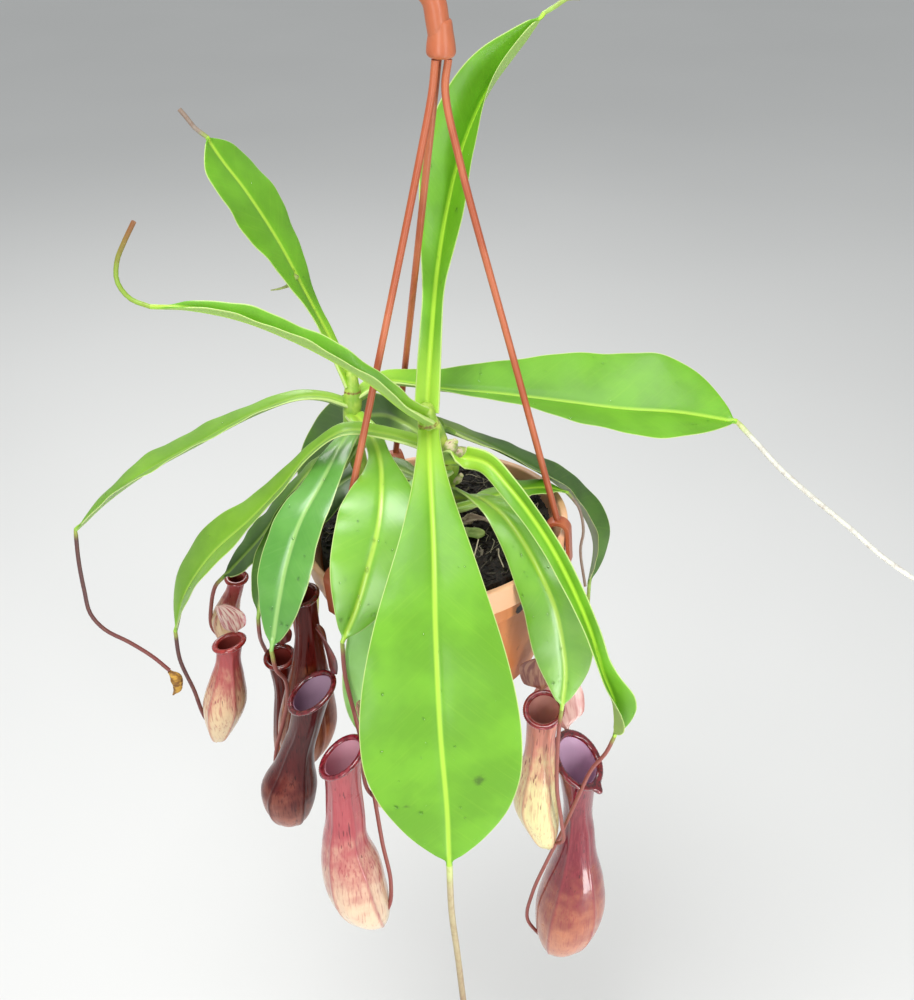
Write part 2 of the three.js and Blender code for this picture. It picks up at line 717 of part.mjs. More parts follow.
const PITCHERS = {
  pitcher_left: {
    rings: [
      [-125, -28, -131, 1], [-123, -28, -128, 4], [-121, -28, -119, 8], [-117, -28, -101, 12],
      [-114, -28, -84, 9.5], [-112, -28, -71, 7], [-110, -28, -60, 7.5],
    ],
    mouth: [-0.23, 0.1, 0.97],
    material: "creamPitcher",
    lid: [0.4, 0.9, 0],
    lidRise: [-0.5, 0, 0.86],
    lidSize: 1.35,
  },
  pitcher_left_smallest: {
    rings: [
      [-119, 3, -84, 1], [-119, 3, -79, 5], [-118, 3, -66, 7.8], [-114, 3, -54, 5.8],
      [-111, 3, -47, 4.8], [-109, 3, -40, 4.6],
    ],
    mouth: [0, -0.1, 1],
    material: "creamPitcher",
    lid: [0.2, 1, 0],
  },
  pitcher_left_front: {
    rings: [
      [-80, -70, -149, 3], [-79, -70, -145, 9], [-79, -70, -135, 13.6], [-78, -70, -122, 15],
      [-74, -70, -105, 10.5], [-71, -70, -93, 8.8], [-67, -70, -80, 9.5], [-61, -70, -57, 12.5],
    ],
    mouth: [-0.5, -0.03, 0.87],
    material: "redPitcher",
    lid: [0.9, 0.35, 0.2],
    lidRise: [-0.45, 0.1, 0.9],
    lidSize: 1.15,
  },
  pitcher_centre_left: {
    rings: [
      [-33, -94, -204, 3], [-36, -94, -198, 10], [-40, -94, -186, 14.5], [-43, -94, -172, 16.3],
      [-45, -94, -154, 15.6], [-47, -94, -136, 12], [-46, -94, -119, 10.3], [-46, -94, -100, 10],
      [-45, -94, -78, 12],
    ],
    mouth: [-0.55, 0.01, 0.83],
    material: "redPitcher",
    lid: [1, 0.1, 0.3],
  },
  pitcher_left_rear: {
    rings: [
      [-75, -40, -133, 3], [-74, -40, -127, 9], [-72, -40, -116, 14.5], [-70, -40, -104, 16],
      [-68, -41, -84, 13.5], [-66, -43, -61, 9.5], [-65, -44, -40, 6.8], [-65, -44, -25, 6],
      [-65, -44, -15, 6],
    ],
    mouth: [-0.2, -0.2, 0.95],
    material: "redPitcher",
    lid: [-0.6, 0.8, 0],
  },
  pitcher_left_thin: {
    rings: [
      [-87, -20, -156, 2], [-87, -20, -151, 6], [-86, -20, -139, 8], [-86, -20, -119, 6.5],
      [-85, -21, -97, 5.3], [-85, -22, -75, 7],
    ],
    mouth: [-0.1, -0.2, 0.97],
    material: "redPitcher",
  },
  pitcher_behind_front: {
    rings: [
      [-28, -58, -149, 2], [-27, -58, -144, 6.5], [-26, -58, -133, 9.5], [-25, -58, -117, 7],
      [-23, -58, -102, 5.5], [-22, -58, -88, 6.5],
    ],
    mouth: [-0.1, -0.2, 0.97],
    material: "creamPitcher",
  },
  pitcher_right_front: {
    rings: [
      [65, -50, -195, 1.5], [63, -50, -189, 5.5], [60, -50, -175, 10], [56, -50, -157, 12.4],
      [56, -50, -138, 11], [57, -50, -118, 8.6], [57, -50, -105, 8], [58, -50, -87, 9.2],
    ],
    mouth: [-0.15, -0.45, 0.88],
    material: "creamPitcher",
    lidSize: 1.25,
  },
  pitcher_right: {
    rings: [
      [74, -38, -304, 3], [77, -38, -299, 11], [80, -38, -283, 19.5], [82, -38, -259, 21.3],
      [83, -38, -236, 18], [83, -38, -212, 12.3], [83, -38, -192, 9.8], [82, -38, -175, 9.5],
      [79, -38, -137, 15.5],
    ],
    mouth: [0.58, -0.23, 0.77],
    material: "redPitcher",
    lid: [-0.5, 0.85, 0],
    lidRise: [-0.25, 0.15, 1],
  },
};

// The ring of points at one height of a pitcher. Near the mouth the rings lean into the mouth's own plane.
function pitcherRing(centre, radius, normal, sides = PITCHER_SIDES) {
  const forward = new THREE.Vector3(0, -1, 0);
  forward.addScaledVector(normal, -forward.dot(normal)).normalize();
  const across = new THREE.Vector3().crossVectors(forward, normal);
  const ring = [];
  for (let i = 0; i < sides; i++) {
    const angle = (2 * Math.PI * i) / sides;
    const point = centre.clone();
    point.addScaledVector(forward, radius * Math.cos(angle));
    point.addScaledVector(across, -radius * Math.sin(angle));
    ring.push(point);
  }
  return ring;
}

// Stations of a pitcher: the centre, radius and direction of each ring of its outside.
function pitcherStations(pitcher) {
  const { rings, mouth } = pitcher;
  const count = rings.length;
  const toMouth = vec(mouth).normalize();
  return rings.map(([x, y, z, radius], i) => {
    const lean = smooth(1 - (count - 1 - i) / MOUTH_RINGS);
    const normal = UP.clone().lerp(toMouth, lean).normalize();
    return { centre: new THREE.Vector3(x, y, z), radius, normal };
  });
}

// The outside filled in solid, for cutting the tendril that reaches it.
function pitcherFilled(pitcher, extra) {
  const rings = pitcherStations(pitcher).map((s) => pitcherRing(s.centre, s.radius + extra, s.normal));
  const bottom = rings[0].map((p) => p.clone().setZ(p.z - extra));
  return toSolid(skin([bottom, ...rings]));
}

// Places across the lid, and how far each one curves back from its plane, as shares of its half width.
const LID_ACROSS = [1, 0.5, 0, -0.5, -1];
const LID_CUP = [0.1, -0.06, -0.1, -0.06, 0.1];

// The lid stands on a short stalk at one side of the mouth, set by the pitcher's lid direction.
function lidSolid(pitcher, station) {
  const radius = station.radius;
  const size = radius * (pitcher.lidSize ?? 1);
  const rise = pitcher.lidRise ? vec(pitcher.lidRise) : station.normal.clone().lerp(UP, 0.5);
  rise.normalize();
  const back = vec(pitcher.lid ?? [0, 1, 0]);
  back.addScaledVector(station.normal, -back.dot(station.normal)).normalize();
  const across = new THREE.Vector3().crossVectors(back, rise).normalize();
  const hinge = station.centre.clone().addScaledVector(back, radius + 0.4);
  const rings = [];
  const steps = 7;
  for (let s = 0; s <= steps; s++) {
    const t = s / steps;
    const rounded = Math.sqrt(Math.sin(Math.PI * Math.min(0.06 + t * 0.92, 1)));
    const width = t < 0.15 ? 1.3 : Math.max(0.9, 0.95 * size * rounded);
    const middle = hinge.clone();
    middle.addScaledVector(back, size * 0.5 * Math.sin(1.9 * t));
    middle.addScaledVector(rise, size * (0.1 + 1.9 * t));
    const front = LID_ACROSS.map((v, i) =>
      middle.clone().addScaledVector(across, width * v).addScaledVector(back, width * LID_CUP[i]),
    );
    const rear = front.map((point) => point.clone().addScaledVector(back, BLADE));
    rings.push([...rear, ...front.reverse()]);
  }
  return toSolid(skin(rings, LID_ACROSS.length));
}

function pitcherSolid(pitcher) {
  const stations = pitcherStations(pitcher);
  const last = stations[stations.length - 1];
  const outer = stations.map((s) => pitcherRing(s.centre, s.radius, s.normal));
  const rim = [
    [1.6, 0.2],
    [2, 1.4],
    [0.8, 2.2],
    [-0.8, 1.4],
  ].map(([out, rise]) => {
    const centre = last.centre.clone().addScaledVector(last.normal, rise);
    return pitcherRing(centre, last.radius + out, last.normal);
  });
  // The inside follows the outside back down, one wall's thickness in.
  const roomy = stations.slice(1).filter((s) => s.radius > 4 * PITCHER_WALL);
  const inner = roomy.reverse().map((s) => {
    const centre = s.centre.clone().setZ(s.centre.z + PITCHER_WALL);
    return pitcherRing(centre, s.radius - PITCHER_WALL, s.normal);
  });
  const cup = toSolid(skin([...outer, ...rim, ...inner]));
  return cup.add(lidSolid(pitcher, last));
}

// Small things: the dried bud on the lower left tendril, and two old leaves and a root on the soil

const DRY_BUD = [[-148, -18, -88], [-145, -18, -93], [-145, -18, -100], [-148, -18, -105]];

const STUBS = {
  withered_leaf: {
    rib: [[8, -5, 3], [14, -7, 5], [20, -7, 8], [26, -7, 7]],
    tendril: [[30, -8, 5], [31, -9, 3]],
    sides: [[0.1, 0.8, 0.6]],
    half: 3.4,
    peak: 0.55,
    stalk: 2,
    fold: [10, 20],
    material: "dryLeaf",
  },
  cut_leaf_stub: {
    rib: [[8, -6, 5], [14, -13, 4], [20, -15, 4], [26, -16, 4]],
    sides: [[0.3, 0.8, 0.5]],
    half: 3.4,
    peak: 0.75,
    stalk: 1.8,
    pointed: 8,
    material: "stem",
  },
};

function makeSmallThings() {
  const bud = tube(DRY_BUD, [1.2, 3.4, 2.6, 0.6], 6, 8);
  addNode("dried_bud", bud, materials.dryBud);
  const mainStem = stemSolid(STEMS.main_stem, SEAT);
  for (const [name, stub] of Object.entries(STUBS)) {
    const solid = leafSolid(stub).subtract(mainStem);
    addNode(name, toGeometry(biggest(solid)), materials[stub.material]);
  }
  const root = stemSolid(ROOT, 0).subtract(mainStem);
  addNode("pale_root", toGeometry(biggest(root)), materials.root);
}

makePot();
makeSoil();
makeStems();
makeHook();
FOOT_ANGLES.forEach((angle, i) => makeStrand(angle, i + 1));

const filledPitchers = Object.values(PITCHERS).map((pitcher) => pitcherFilled(pitcher, SEAT));
const fatStems = Object.values(STEMS).map((stem) => stemSolid(stem, SEAT));
for (const [name, leaf] of Object.entries(LEAVES)) {
  let solid = leafSolid(leaf);
  for (const cutter of [...fatStems, ...filledPitchers]) solid = solid.subtract(cutter);
  addNode(name, toGeometry(biggest(solid)), materials.leaf);
}
for (const [name, pitcher] of Object.entries(PITCHERS)) {
  addNode(name, toGeometry(pitcherSolid(pitcher)), materials[pitcher.material]);
}
makeSmallThings();

// The hook rests on the underside of its arc's top.
const hookRest = vec(HOOK_FOOT);
hookRest.x += HOOK_LEAN;
hookRest.z += HOOK_RISE + HOOK_BEND - HOOK_BAR;
plant.position.copy(hookRest).negate();

export default plant;
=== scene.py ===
# %% [markdown]
# # A pitcher plant in a hanging pot
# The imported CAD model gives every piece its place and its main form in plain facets. This
# lesson makes each piece again, finer, from the same few control points, and gives it the
# finish of the real thing: wet-looking green leaves, fleshy red pitchers, moulded plastic and
# dark peat.

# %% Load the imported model
import math

import bmesh
import bpy
import numpy as np
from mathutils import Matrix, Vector, noise


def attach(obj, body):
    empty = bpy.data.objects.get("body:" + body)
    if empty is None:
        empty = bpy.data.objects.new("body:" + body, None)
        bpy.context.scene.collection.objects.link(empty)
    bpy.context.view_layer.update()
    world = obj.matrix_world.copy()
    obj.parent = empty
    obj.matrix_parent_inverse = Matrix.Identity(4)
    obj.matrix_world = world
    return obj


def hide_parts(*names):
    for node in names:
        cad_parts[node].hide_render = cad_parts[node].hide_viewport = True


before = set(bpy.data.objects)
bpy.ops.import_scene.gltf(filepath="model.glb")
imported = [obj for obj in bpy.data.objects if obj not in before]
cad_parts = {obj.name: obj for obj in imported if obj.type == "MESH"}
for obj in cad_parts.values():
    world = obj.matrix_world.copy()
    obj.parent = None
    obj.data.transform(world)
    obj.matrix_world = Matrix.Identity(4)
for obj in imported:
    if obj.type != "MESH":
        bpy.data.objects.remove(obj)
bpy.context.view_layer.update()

# %% [markdown]
# The photograph looks down on the plant from a little above it. The camera stands half a metre
# in front of the hook and tilts down by 33 degrees. A 24 mm sensor side and a 28.8 mm lens give
# the photo's width of view.

# %% Put the camera where the photograph was taken
def linked(name, data):
    made = bpy.data.objects.new(name, data)
    bpy.context.collection.objects.link(made)
    return made


lens = bpy.data.cameras.new("photo_camera")
lens.sensor_width = 24
lens.lens = 28.8
camera = linked("photo_camera", lens)
camera.location = (0.0017, -0.5220, 0.0738)
camera.rotation_euler = (math.radians(56.6), 0, 0)
bpy.context.scene.camera = camera
print("camera at", tuple(round(x, 3) for x in camera.location))

# %% [markdown]
# Every colour below is written as the sRGB hex value that the eye sees. Blender mixes light in
# linear values, so one function turns hex to linear. A second one adds a shader node and sets
# its choices. The sockets are filled from a dictionary: a socket is linked, a node is linked by
# its first output, and any other value is set.

# %% Colour and shader-node helpers
def linear(code):
    parts = [int(code[i : i + 2], 16) / 255 for i in (0, 2, 4)]
    curve = [p / 12.92 if p <= 0.04045 else ((p + 0.055) / 1.055) ** 2.4 for p in parts]
    return (*curve, 1.0)


def fill(tree, node, sockets):
    for key, value in sockets.items():
        if isinstance(value, bpy.types.Node):
            value = value.outputs[0]
        if isinstance(value, bpy.types.NodeSocket):
            tree.links.new(value, node.inputs[key])
        else:
            node.inputs[key].default_value = value


def add(tree, kind, sockets=None, **choices):
    made = tree.nodes.new("ShaderNode" + kind)
    for name, value in choices.items():
        setattr(made, name, value)
    fill(tree, made, sockets or {})
    return made


print("leaf green in linear values:", [round(x, 3) for x in linear("6FB51E")])

# %% [markdown]
# A new material comes with one Principled shader. This helper hands back the tree, that shader,
# the place on the piece in metres, which most patterns start from, and the asked-for values that
# ride on the mesh's points. Pattern sizes are given in real millimetres and turned to a noise
# scale with per_mm. Most finishes are a base colour with others laid over it, each where some
# pattern's value runs from low to high, and up to a greatest share.

# %% Start a material
MIX_FACTOR, MIX_A, MIX_B, MIX_RESULT = 0, 6, 7, 2  # sockets of a colour Mix node


def new_material(name, *riding):
    material = bpy.data.materials.new(name)
    material.use_nodes = True
    tree = material.node_tree
    place = add(tree, "TexCoord").outputs["Object"]
    values = (add(tree, "Attribute", attribute_name=key).outputs["Fac"] for key in riding)
    return material, tree, tree.nodes["Principled BSDF"], place, *values


def per_mm(size):
    return 1000 / size


def painted(tree, base, layers):
    """Lays the colours over the base in turn and gives the socket of the result."""
    colour = linear(base)
    for source, low, high, top, tint in layers:
        share = add(tree, "MapRange", {"Value": source, "From Min": low, "From Max": high,
                                       "To Max": top}, interpolation_type="SMOOTHSTEP")
        mixed = add(tree, "Mix", {MIX_FACTOR: share, MIX_A: colour, MIX_B: linear(tint)},
                    data_type="RGBA")
        colour = mixed.outputs[MIX_RESULT]
    return colour


# %% [markdown]
# The plant was laid out in millimetres round the middle of the pot's rim. The frame's origin is
# the point where the hook rests, so a layout point is moved by REST and divided by a thousand.

# %% Vectors and smooth routes
REST = np.array([10.0, 0.0, 284.6])
UP = np.array([0.0, 0.0, 1.0])


def unit(vectors):
    vectors = np.asarray(vectors, float)
    return vectors / np.maximum(np.linalg.norm(vectors, axis=-1, keepdims=True), 1e-9)


def smooth(x):
    t = np.clip(x, 0, 1)
    return t * t * (3 - 2 * t)


def bell(x):
    return np.exp(-(x**2))


def between(a, b, share):
    return a + (b - a) * share


def full_turn(count):
    return np.linspace(0, 2 * math.pi, count, endpoint=False)


def polar(radius, angle):
    return radius * math.cos(angle), radius * math.sin(angle)


def rotated(a, b, angle):
    return a * math.cos(angle) - b * math.sin(angle), a * math.sin(angle) + b * math.cos(angle)


def route_through(points, per_span=40):
    """A centripetal Catmull-Rom route, the curve that the CAD's stems and midribs follow."""
    knots = np.array(points, float)
    ends = np.vstack([2 * knots[0] - knots[1], knots, 2 * knots[-1] - knots[-2]])
    share = np.linspace(0, 1, per_span, endpoint=False)[:, None]
    spans = []
    for p0, p1, p2, p3 in zip(ends, ends[1:], ends[2:], ends[3:]):
        d0, d1, d2 = (np.linalg.norm(b - a) ** 0.5 for a, b in ((p0, p1), (p1, p2), (p2, p3)))
        leave = ((p1 - p0) / d0 - (p2 - p0) / (d0 + d1) + (p2 - p1) / d1) * d1
        arrive = ((p2 - p1) / d1 - (p3 - p1) / (d1 + d2) + (p3 - p2) / d2) * d1
        cubic = (2 * (p1 - p2) + leave + arrive) * share**3
        square = (3 * (p2 - p1) - 2 * leave - arrive) * share**2
        spans.append(p1 + leave * share + square + cubic)
    return np.vstack([*spans, knots[-1:]])


def walk(route, shares):
    """Points and directions at shares of the route's length, and the length itself."""
    reach = np.concatenate([[0], np.cumsum(np.linalg.norm(np.diff(route, axis=0), axis=1))])
    slope = np.gradient(route, reach, axis=0)
    at = np.asarray(shares) * reach[-1]
    point = np.column_stack([np.interp(at, reach, column) for column in route.T])
    along = np.column_stack([np.interp(at, reach, column) for column in slope.T])
    return point, unit(along), reach[-1]


# %% [markdown]
# Most pieces are a skin over rings of points: the rings run along the piece, and each end is
# closed by one flat face. A part is a small dictionary of points, faces, the finish of each
# face, and values that ride on the points for the materials to read, such as the distance from
# a leaf's edge.

# %% Skins, parts and pieces
def skin(rings, finish=0, values=None):
    count, around = rings.shape[:2]
    first = np.arange(count - 1)[:, None] * around
    here, after = np.arange(around), (np.arange(around) + 1) % around
    corners = [first + here, first + after, first + around + after, first + around + here]
    quads = np.stack(corners, axis=-1).reshape(-1, 4)
    finishes = np.full(len(quads), finish) if np.isscalar(finish) else np.repeat(finish, around)
    last = (count - 1) * around
    faces = [*quads.tolist(), list(here[::-1]), [last + i for i in here]]
    finishes = [*finishes.tolist(), int(finishes[0]), int(finishes[-1])]
    shape = (count, around)
    flat = {k: np.broadcast_to(v, shape).reshape(-1) for k, v in (values or {}).items()}
    return {"points": rings.reshape(-1, 3), "faces": faces, "finish": finishes, "values": flat}


def plain_part(points, faces, values=None):
    return {"points": points, "faces": faces, "finish": [0] * len(faces), "values": values or {}}


def joined(*parts):
    names = sorted({name for part in parts for name in part["values"]})
    faces, finishes, start = [], [], 0
    for part in parts:
        faces += [[start + i for i in face] for face in part["faces"]]
        finishes += part["finish"]
        start += len(part["points"])
    values = {
        name: np.concatenate(
            [part["values"].get(name, np.zeros(len(part["points"]))) for part in parts])
        for name in names
    }
    points = np.vstack([part["points"] for part in parts])
    return {"points": points, "faces": faces, "finish": finishes, "values": values}


totals = {}


def mesh_of(name, part):
    """The mesh of a part, in metres and round the frame's origin."""
    mesh = bpy.data.meshes.new(name)
    mesh.from_pydata(((part["points"] - REST) / 1000).tolist(), [], part["faces"])
    return mesh


def piece(name, part, materials, node=None, sharp=50):
    """Makes the mesh, lets it ride on the one body, and hides the CAD node it stands for."""
    mesh = mesh_of(name, part)
    for key, value in part["values"].items():
        riding = mesh.attributes.new(key, "FLOAT", "POINT")
        riding.data.foreach_set("value", value.astype(np.float32))
    for material in materials:
        mesh.materials.append(material)
    mesh.polygons.foreach_set("material_index", np.array(part["finish"], dtype=np.int32))
    mesh.polygons.foreach_set("use_smooth", np.ones(len(mesh.polygons), dtype=bool))
    mesh.set_sharp_from_angle(angle=math.radians(sharp))
    mesh.update()
    made = linked(name, mesh)
    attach(made, "root")
    if node:
        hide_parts(node)
    totals[name] = sum(len(face) - 2 for face in part["faces"])
    return made


# %% [markdown]
# The leaves of this plant are one strap each: a stalk that widens into a blade, with a tendril
# growing on out of the tip. The control points give the midrib and the tendril, the way the
# left half faces, the greatest half width and where it lies, and how the halves fold. The last
# words name the finish of the blade and of the tendril.

# %% Control points of the leaves, in millimetres
LEAVES = {
    "leaf_front": dict(
        cord=1.6,
        rib=[(-2, -20, 68), (-1, -42, 59), (1, -74, 38), (2, -102, 11), (4, -122, -31),
             (7, -131, -74), (8, -134, -109)],
        tendril=[(9, -138, -138), (12, -139, -172), (15, -140, -208), (19, -140, -254)],
        sides=[(1, 0, 0)], half=37.5, peak=0.68, skin="fresh", thread="tan",
        spots=[(0.77, 0.42, 3.0), (0.83, -0.53, 1.9)]),
    "leaf_up": dict(
        rib=[(-3, -14, 74), (-1, 5, 101), (2, 37, 126), (7, 51, 153), (15, 59, 182), (27, 67, 206),
             (42, 74, 224), (53, 80, 238)],
        tendril=[(59, 82, 241), (64, 83, 244), (70, 84, 244)],
        sides=[(-1, 0, 0), (-0.95, -0.2, 0), (-0.9, -0.1, 0.5), (-0.8, 0.1, 0.6)],
        half=20, peak=0.66, stalk=6, fold=(10, 20), fold_tip=(15, 125), arch=-0.05, narrow=0.25,
        skin="fresh", thread="green"),
    "leaf_right": dict(
        cord=1.4,
        rib=[(-40, 14, 67), (-25, 24, 71), (-12, 26, 69), (3, 26, 66), (34, 24, 64), (65, 20, 62),
             (95, 14, 61), (124, 8, 62), (152, 2, 60)],
        tendril=[(162, 0, 50), (176, -4, 36), (198, -9, 18), (215, -13, 5), (232, -17, -9),
                 (250, -21, -21)],
        sides=[(0, 1, 0.1)], half=33, peak=0.74, stalk=6, fold=(26, 40), fold_tip=(36, 8),
        arch=-0.05, skin="fresh", thread="cream"),
    "leaf_upper_left": dict(
        rib=[(-41, 14, 75), (-51, 20, 97), (-62, 24, 120), (-74, 28, 145), (-88, 31, 169),
             (-98, 33, 183), (-104, 34, 193)],
        tendril=[(-109, 34, 197), (-112, 33, 202), (-115, 33, 206)],
        sides=[(-0.46, -0.85, 0.21)], half=20.5, peak=0.74, narrow=0.25, stalk=5,
        pointed=3.6, fold=(4, 4), arch=-0.05,
        spur=[(-66, 24, 129), (-69, 23, 125), (-74, 22, 123), (-79, 22, 122)],
        skin="fresh", thread="dry"),
    "leaf_folded_left": dict(
        rib=[(-3, -18, 73), (-14, -34, 89), (-28, -40, 105), (-45, -42, 118), (-62, -41, 127),
             (-83, -39, 135), (-105, -37, 139), (-123, -35, 139)],
        tendril=[(-132, -33, 142), (-137, -31, 149), (-136, -30, 158), (-132, -30, 166),
                 (-126, -30, 176)],
        sides=[(0, -1, -0.2)], half=7, peak=0.5, stalk=5, fold=(55, 55), arch=0, pointed=3,
        skin="fresh", thread="green_dry"),
    "leaf_lower_left": dict(
        rib=[(-40, 12, 64), (-55, 12, 69), (-67, 10, 70), (-90, 8, 62), (-121, 2, 47),
             (-147, -4, 34), (-169, -9, 19), (-185, -14, 5)],
        tendril=[(-186, -16, -13), (-186, -17, -32), (-185, -18, -47), (-179, -18, -58),
                 (-167, -18, -67), (-156, -18, -77), (-148, -18, -87)],
        sides=[(0, -1, 0.12)], half=17, peak=0.65, stalk=5, fold=(18, 18),
        skin="grown", thread="dusky_brown"),
    "leaf_left": dict(
        rib=[(0, -14, 55), (-23, -20, 66), (-42, -24, 70), (-58, -24, 59), (-76, -22, 36),
             (-93, -22, 17), (-115, -22, -5), (-131, -24, -29), (-138, -28, -51)],
        tendril=[(-138, -28, -71), (-133, -28, -93), (-130, -28, -111), (-124, -28, -127)],
        sides=[(0, -0.9, -0.1), (0.2, -1, -0.1), (0.4, -1, -0.35)],
        half=19, peak=0.78, narrow=0.25, stalk=6, fold=(22, 14), fold_tip=(28, 8),
        skin="grown", thread="dusky_brown"),
    "leaf_left_front": dict(
        rib=[(-41, 6, 55), (-47, -18, 55), (-54, -38, 48), (-63, -52, 36), (-70, -60, 17),
             (-75, -65, -4), (-80, -68, -30)],
        tendril=[(-79, -67, -43), (-76, -60, -57), (-77, -56, -75), (-81, -54, -93),
                 (-86, -53, -112), (-88, -53, -128), (-86, -58, -144), (-81, -68, -149)],
        sides=[(0.9, -0.3, 0.2)], half=13.8, peak=0.62, stalk=6, skin="bluish", thread="dusty_red"),
    "leaf_centre_left": dict(
        rib=[(-40, 7, 62), (-32, -9, 62), (-26, -24, 56), (-24, -46, 50), (-25, -60, 40),
             (-30, -72, 23), (-36, -79, 4), (-43, -82, -13)],
        tendril=[(-43, -79, -37), (-39, -78, -68), (-33, -81, -107), (-28, -89, -146),
                 (-24, -95, -170), (-26, -97, -189), (-35, -95, -200)],
        sides=[(1, 0, 0)], half=20, peak=0.55, stalk=5, narrow=0.22,
        skin="wet", thread="dusty_red"),
    "leaf_centre_under": dict(
        rib=[(5, -11, 41), (-10, -34, 41), (-18, -54, 33), (-23, -69, 12), (-28, -74, -20),
             (-34, -73, -56), (-38, -69, -88)],
        tendril=[(-39, -64, -111), (-37, -61, -136), (-29, -58, -150)],
        sides=[(1, 0.1, 0)], half=14, peak=0.66, stalk=6, skin="cool", thread="dusty_red"),
    "leaf_right_outer": dict(
        rib=[(7, -20, 52), (16, -26, 56), (26, -33, 57), (36, -44, 51), (46, -54, 42),
             (56, -62, 29), (66, -69, 11), (75, -74, -10), (84, -74, -40), (91, -71, -62),
             (94, -67, -89)],
        tendril=[(91, -61, -108), (85, -57, -124), (79, -55, -148), (73, -50, -179),
                 (65, -44, -215), (58, -40, -248), (56, -38, -276), (66, -38, -294)],
        sides=[(0.8, -0.5, 0.3), (0.9, -0.3, 0.3), (0.9, -0.1, 0.3), (0.9, 0.1, 0.2)],
        half=12, peak=0.86, narrow=0.68, stalk=5.5, fold=(20, 10), fold_tip=(20, 120),
        skin="fresh", thread="dusty_red"),
    "leaf_right_inner": dict(
        rib=[(8, -10, 24), (16, -16, 29), (25, -25, 31), (35, -37, 29), (44, -48, 21),
             (52, -57, 9), (59, -61, -7), (64, -61, -29), (67, -61, -53), (66, -62, -75)],
        tendril=[(65, -64, -90), (65, -65, -108), (66, -65, -131), (70, -62, -160),
                 (72, -56, -183), (66, -50, -192)],
        sides=[(0.8, -0.4, 0), (0.95, 0.2, -0.1)], half=16, peak=0.66, stalk=5, fold=(12, 12),
        skin="wet", thread="dusty_red"),
    "leaf_back_right": dict(
        rib=[(6, -2, 60), (24, 12, 43), (45, 24, 24), (66, 32, 5), (82, 38, -18), (91, 42, -43),
             (90, 44, -74)],
        tendril=[(90, 44, -102), (87, 40, -130), (85, 34, -158)],
        sides=[(-0.4, 0.9, 0.1), (0, 1, 0.2), (1, 0.4, 0)], half=17, peak=0.66, stalk=9,
        fold=(5, 20), fold_tip=(5, 62), narrow=0.1, skin="deep", thread="green"),
    "leaf_small_right": dict(
        cord=0.8,
        rib=[(9, 0, 9), (24, 6, 10), (37, 12, 11), (50, 15, 12), (63, 15, 12), (71, 15, 9)],
        tendril=[(77, 13, 1), (80, 10, -12), (79, 9, -24), (83, 9, -49)],
        sides=[(-0.3, 0.95, 0)], half=10, peak=0.55, stalk=4, fold=(5, 15),
        skin="fresh", thread="dry"),
    "leaf_back_left": dict(
        rib=[(1, -9, 53), (-15, 14, 52), (-29, 34, 46), (-46, 54, 30), (-60, 68, 2),
             (-70, 77, -36), (-76, 80, -72)],
        tendril=[(-76, 80, -99), (-78, 76, -128)],
        sides=[(0.3, -0.9, 0), (0.6, -0.6, 0), (0.9, -0.1, 0)], half=19, peak=0.62, stalk=6,
        skin="deep", thread="green"),
    "leaf_low_left": dict(
        rib=[(3, -2, 24), (-11, 8, 25), (-25, 18, 24), (-44, 14, 20), (-58, 2, 14), (-72, -18, 5),
             (-77, -34, -12)],
        tendril=[(-74, -30, -38), (-74, -24, -71), (-74, -19, -102), (-75, -21, -128),
                 (-75, -30, -137), (-75, -38, -131)],
        sides=[(0.3, -0.95, 0), (0.5, -0.8, 0), (0.9, -0.3, 0)], half=13, peak=0.6, stalk=4,
        skin="deep", thread="dusty_red"),
    "leaf_low_under_left": dict(
        rib=[(-41, 6, 46), (-50, -7, 38), (-65, -18, 28), (-77, -29, 9), (-87, -35, -14),
             (-91, -38, -34)],
        tendril=[(-93, -30, -50), (-95, -17, -68), (-93, -11, -84), (-88, -10, -104),
                 (-87, -9, -128), (-87, -11, -146), (-87, -18, -156)],
        sides=[(0.9, -0.3, 0.2)], half=10, peak=0.6, stalk=4, skin="deep", thread="dusty_red"),
    "leaf_low_behind_left": dict(
        rib=[(-42, 10, 42), (-59, 7, 34), (-75, 2, 17), (-91, -4, -5), (-104, -6, -20),
             (-114, -7, -31)],
        tendril=[(-119, -5, -38), (-124, -1, -55), (-126, 2, -73), (-121, 3, -83)],
        sides=[(0, -1, 0), (0.3, -1, -0.2)], half=14, peak=0.66, stalk=4,
        skin="deep", thread="dusty_red"),
}
print("leaves:", len(LEAVES))

# %% [markdown]
# A leaf's blade is waxy skin over a pale midrib. Its colour is never even: soft patches about
# 25 mm across, faint oblique veins, a lighter stalk, a bright stripe over the midrib and a pale
# line along the margin. The stripe and the margin follow two values on the points, the
# distances in millimetres from the midrib and from the edge. The wax gives a soft gloss, so the
# shader has a thin coat over a rougher skin.

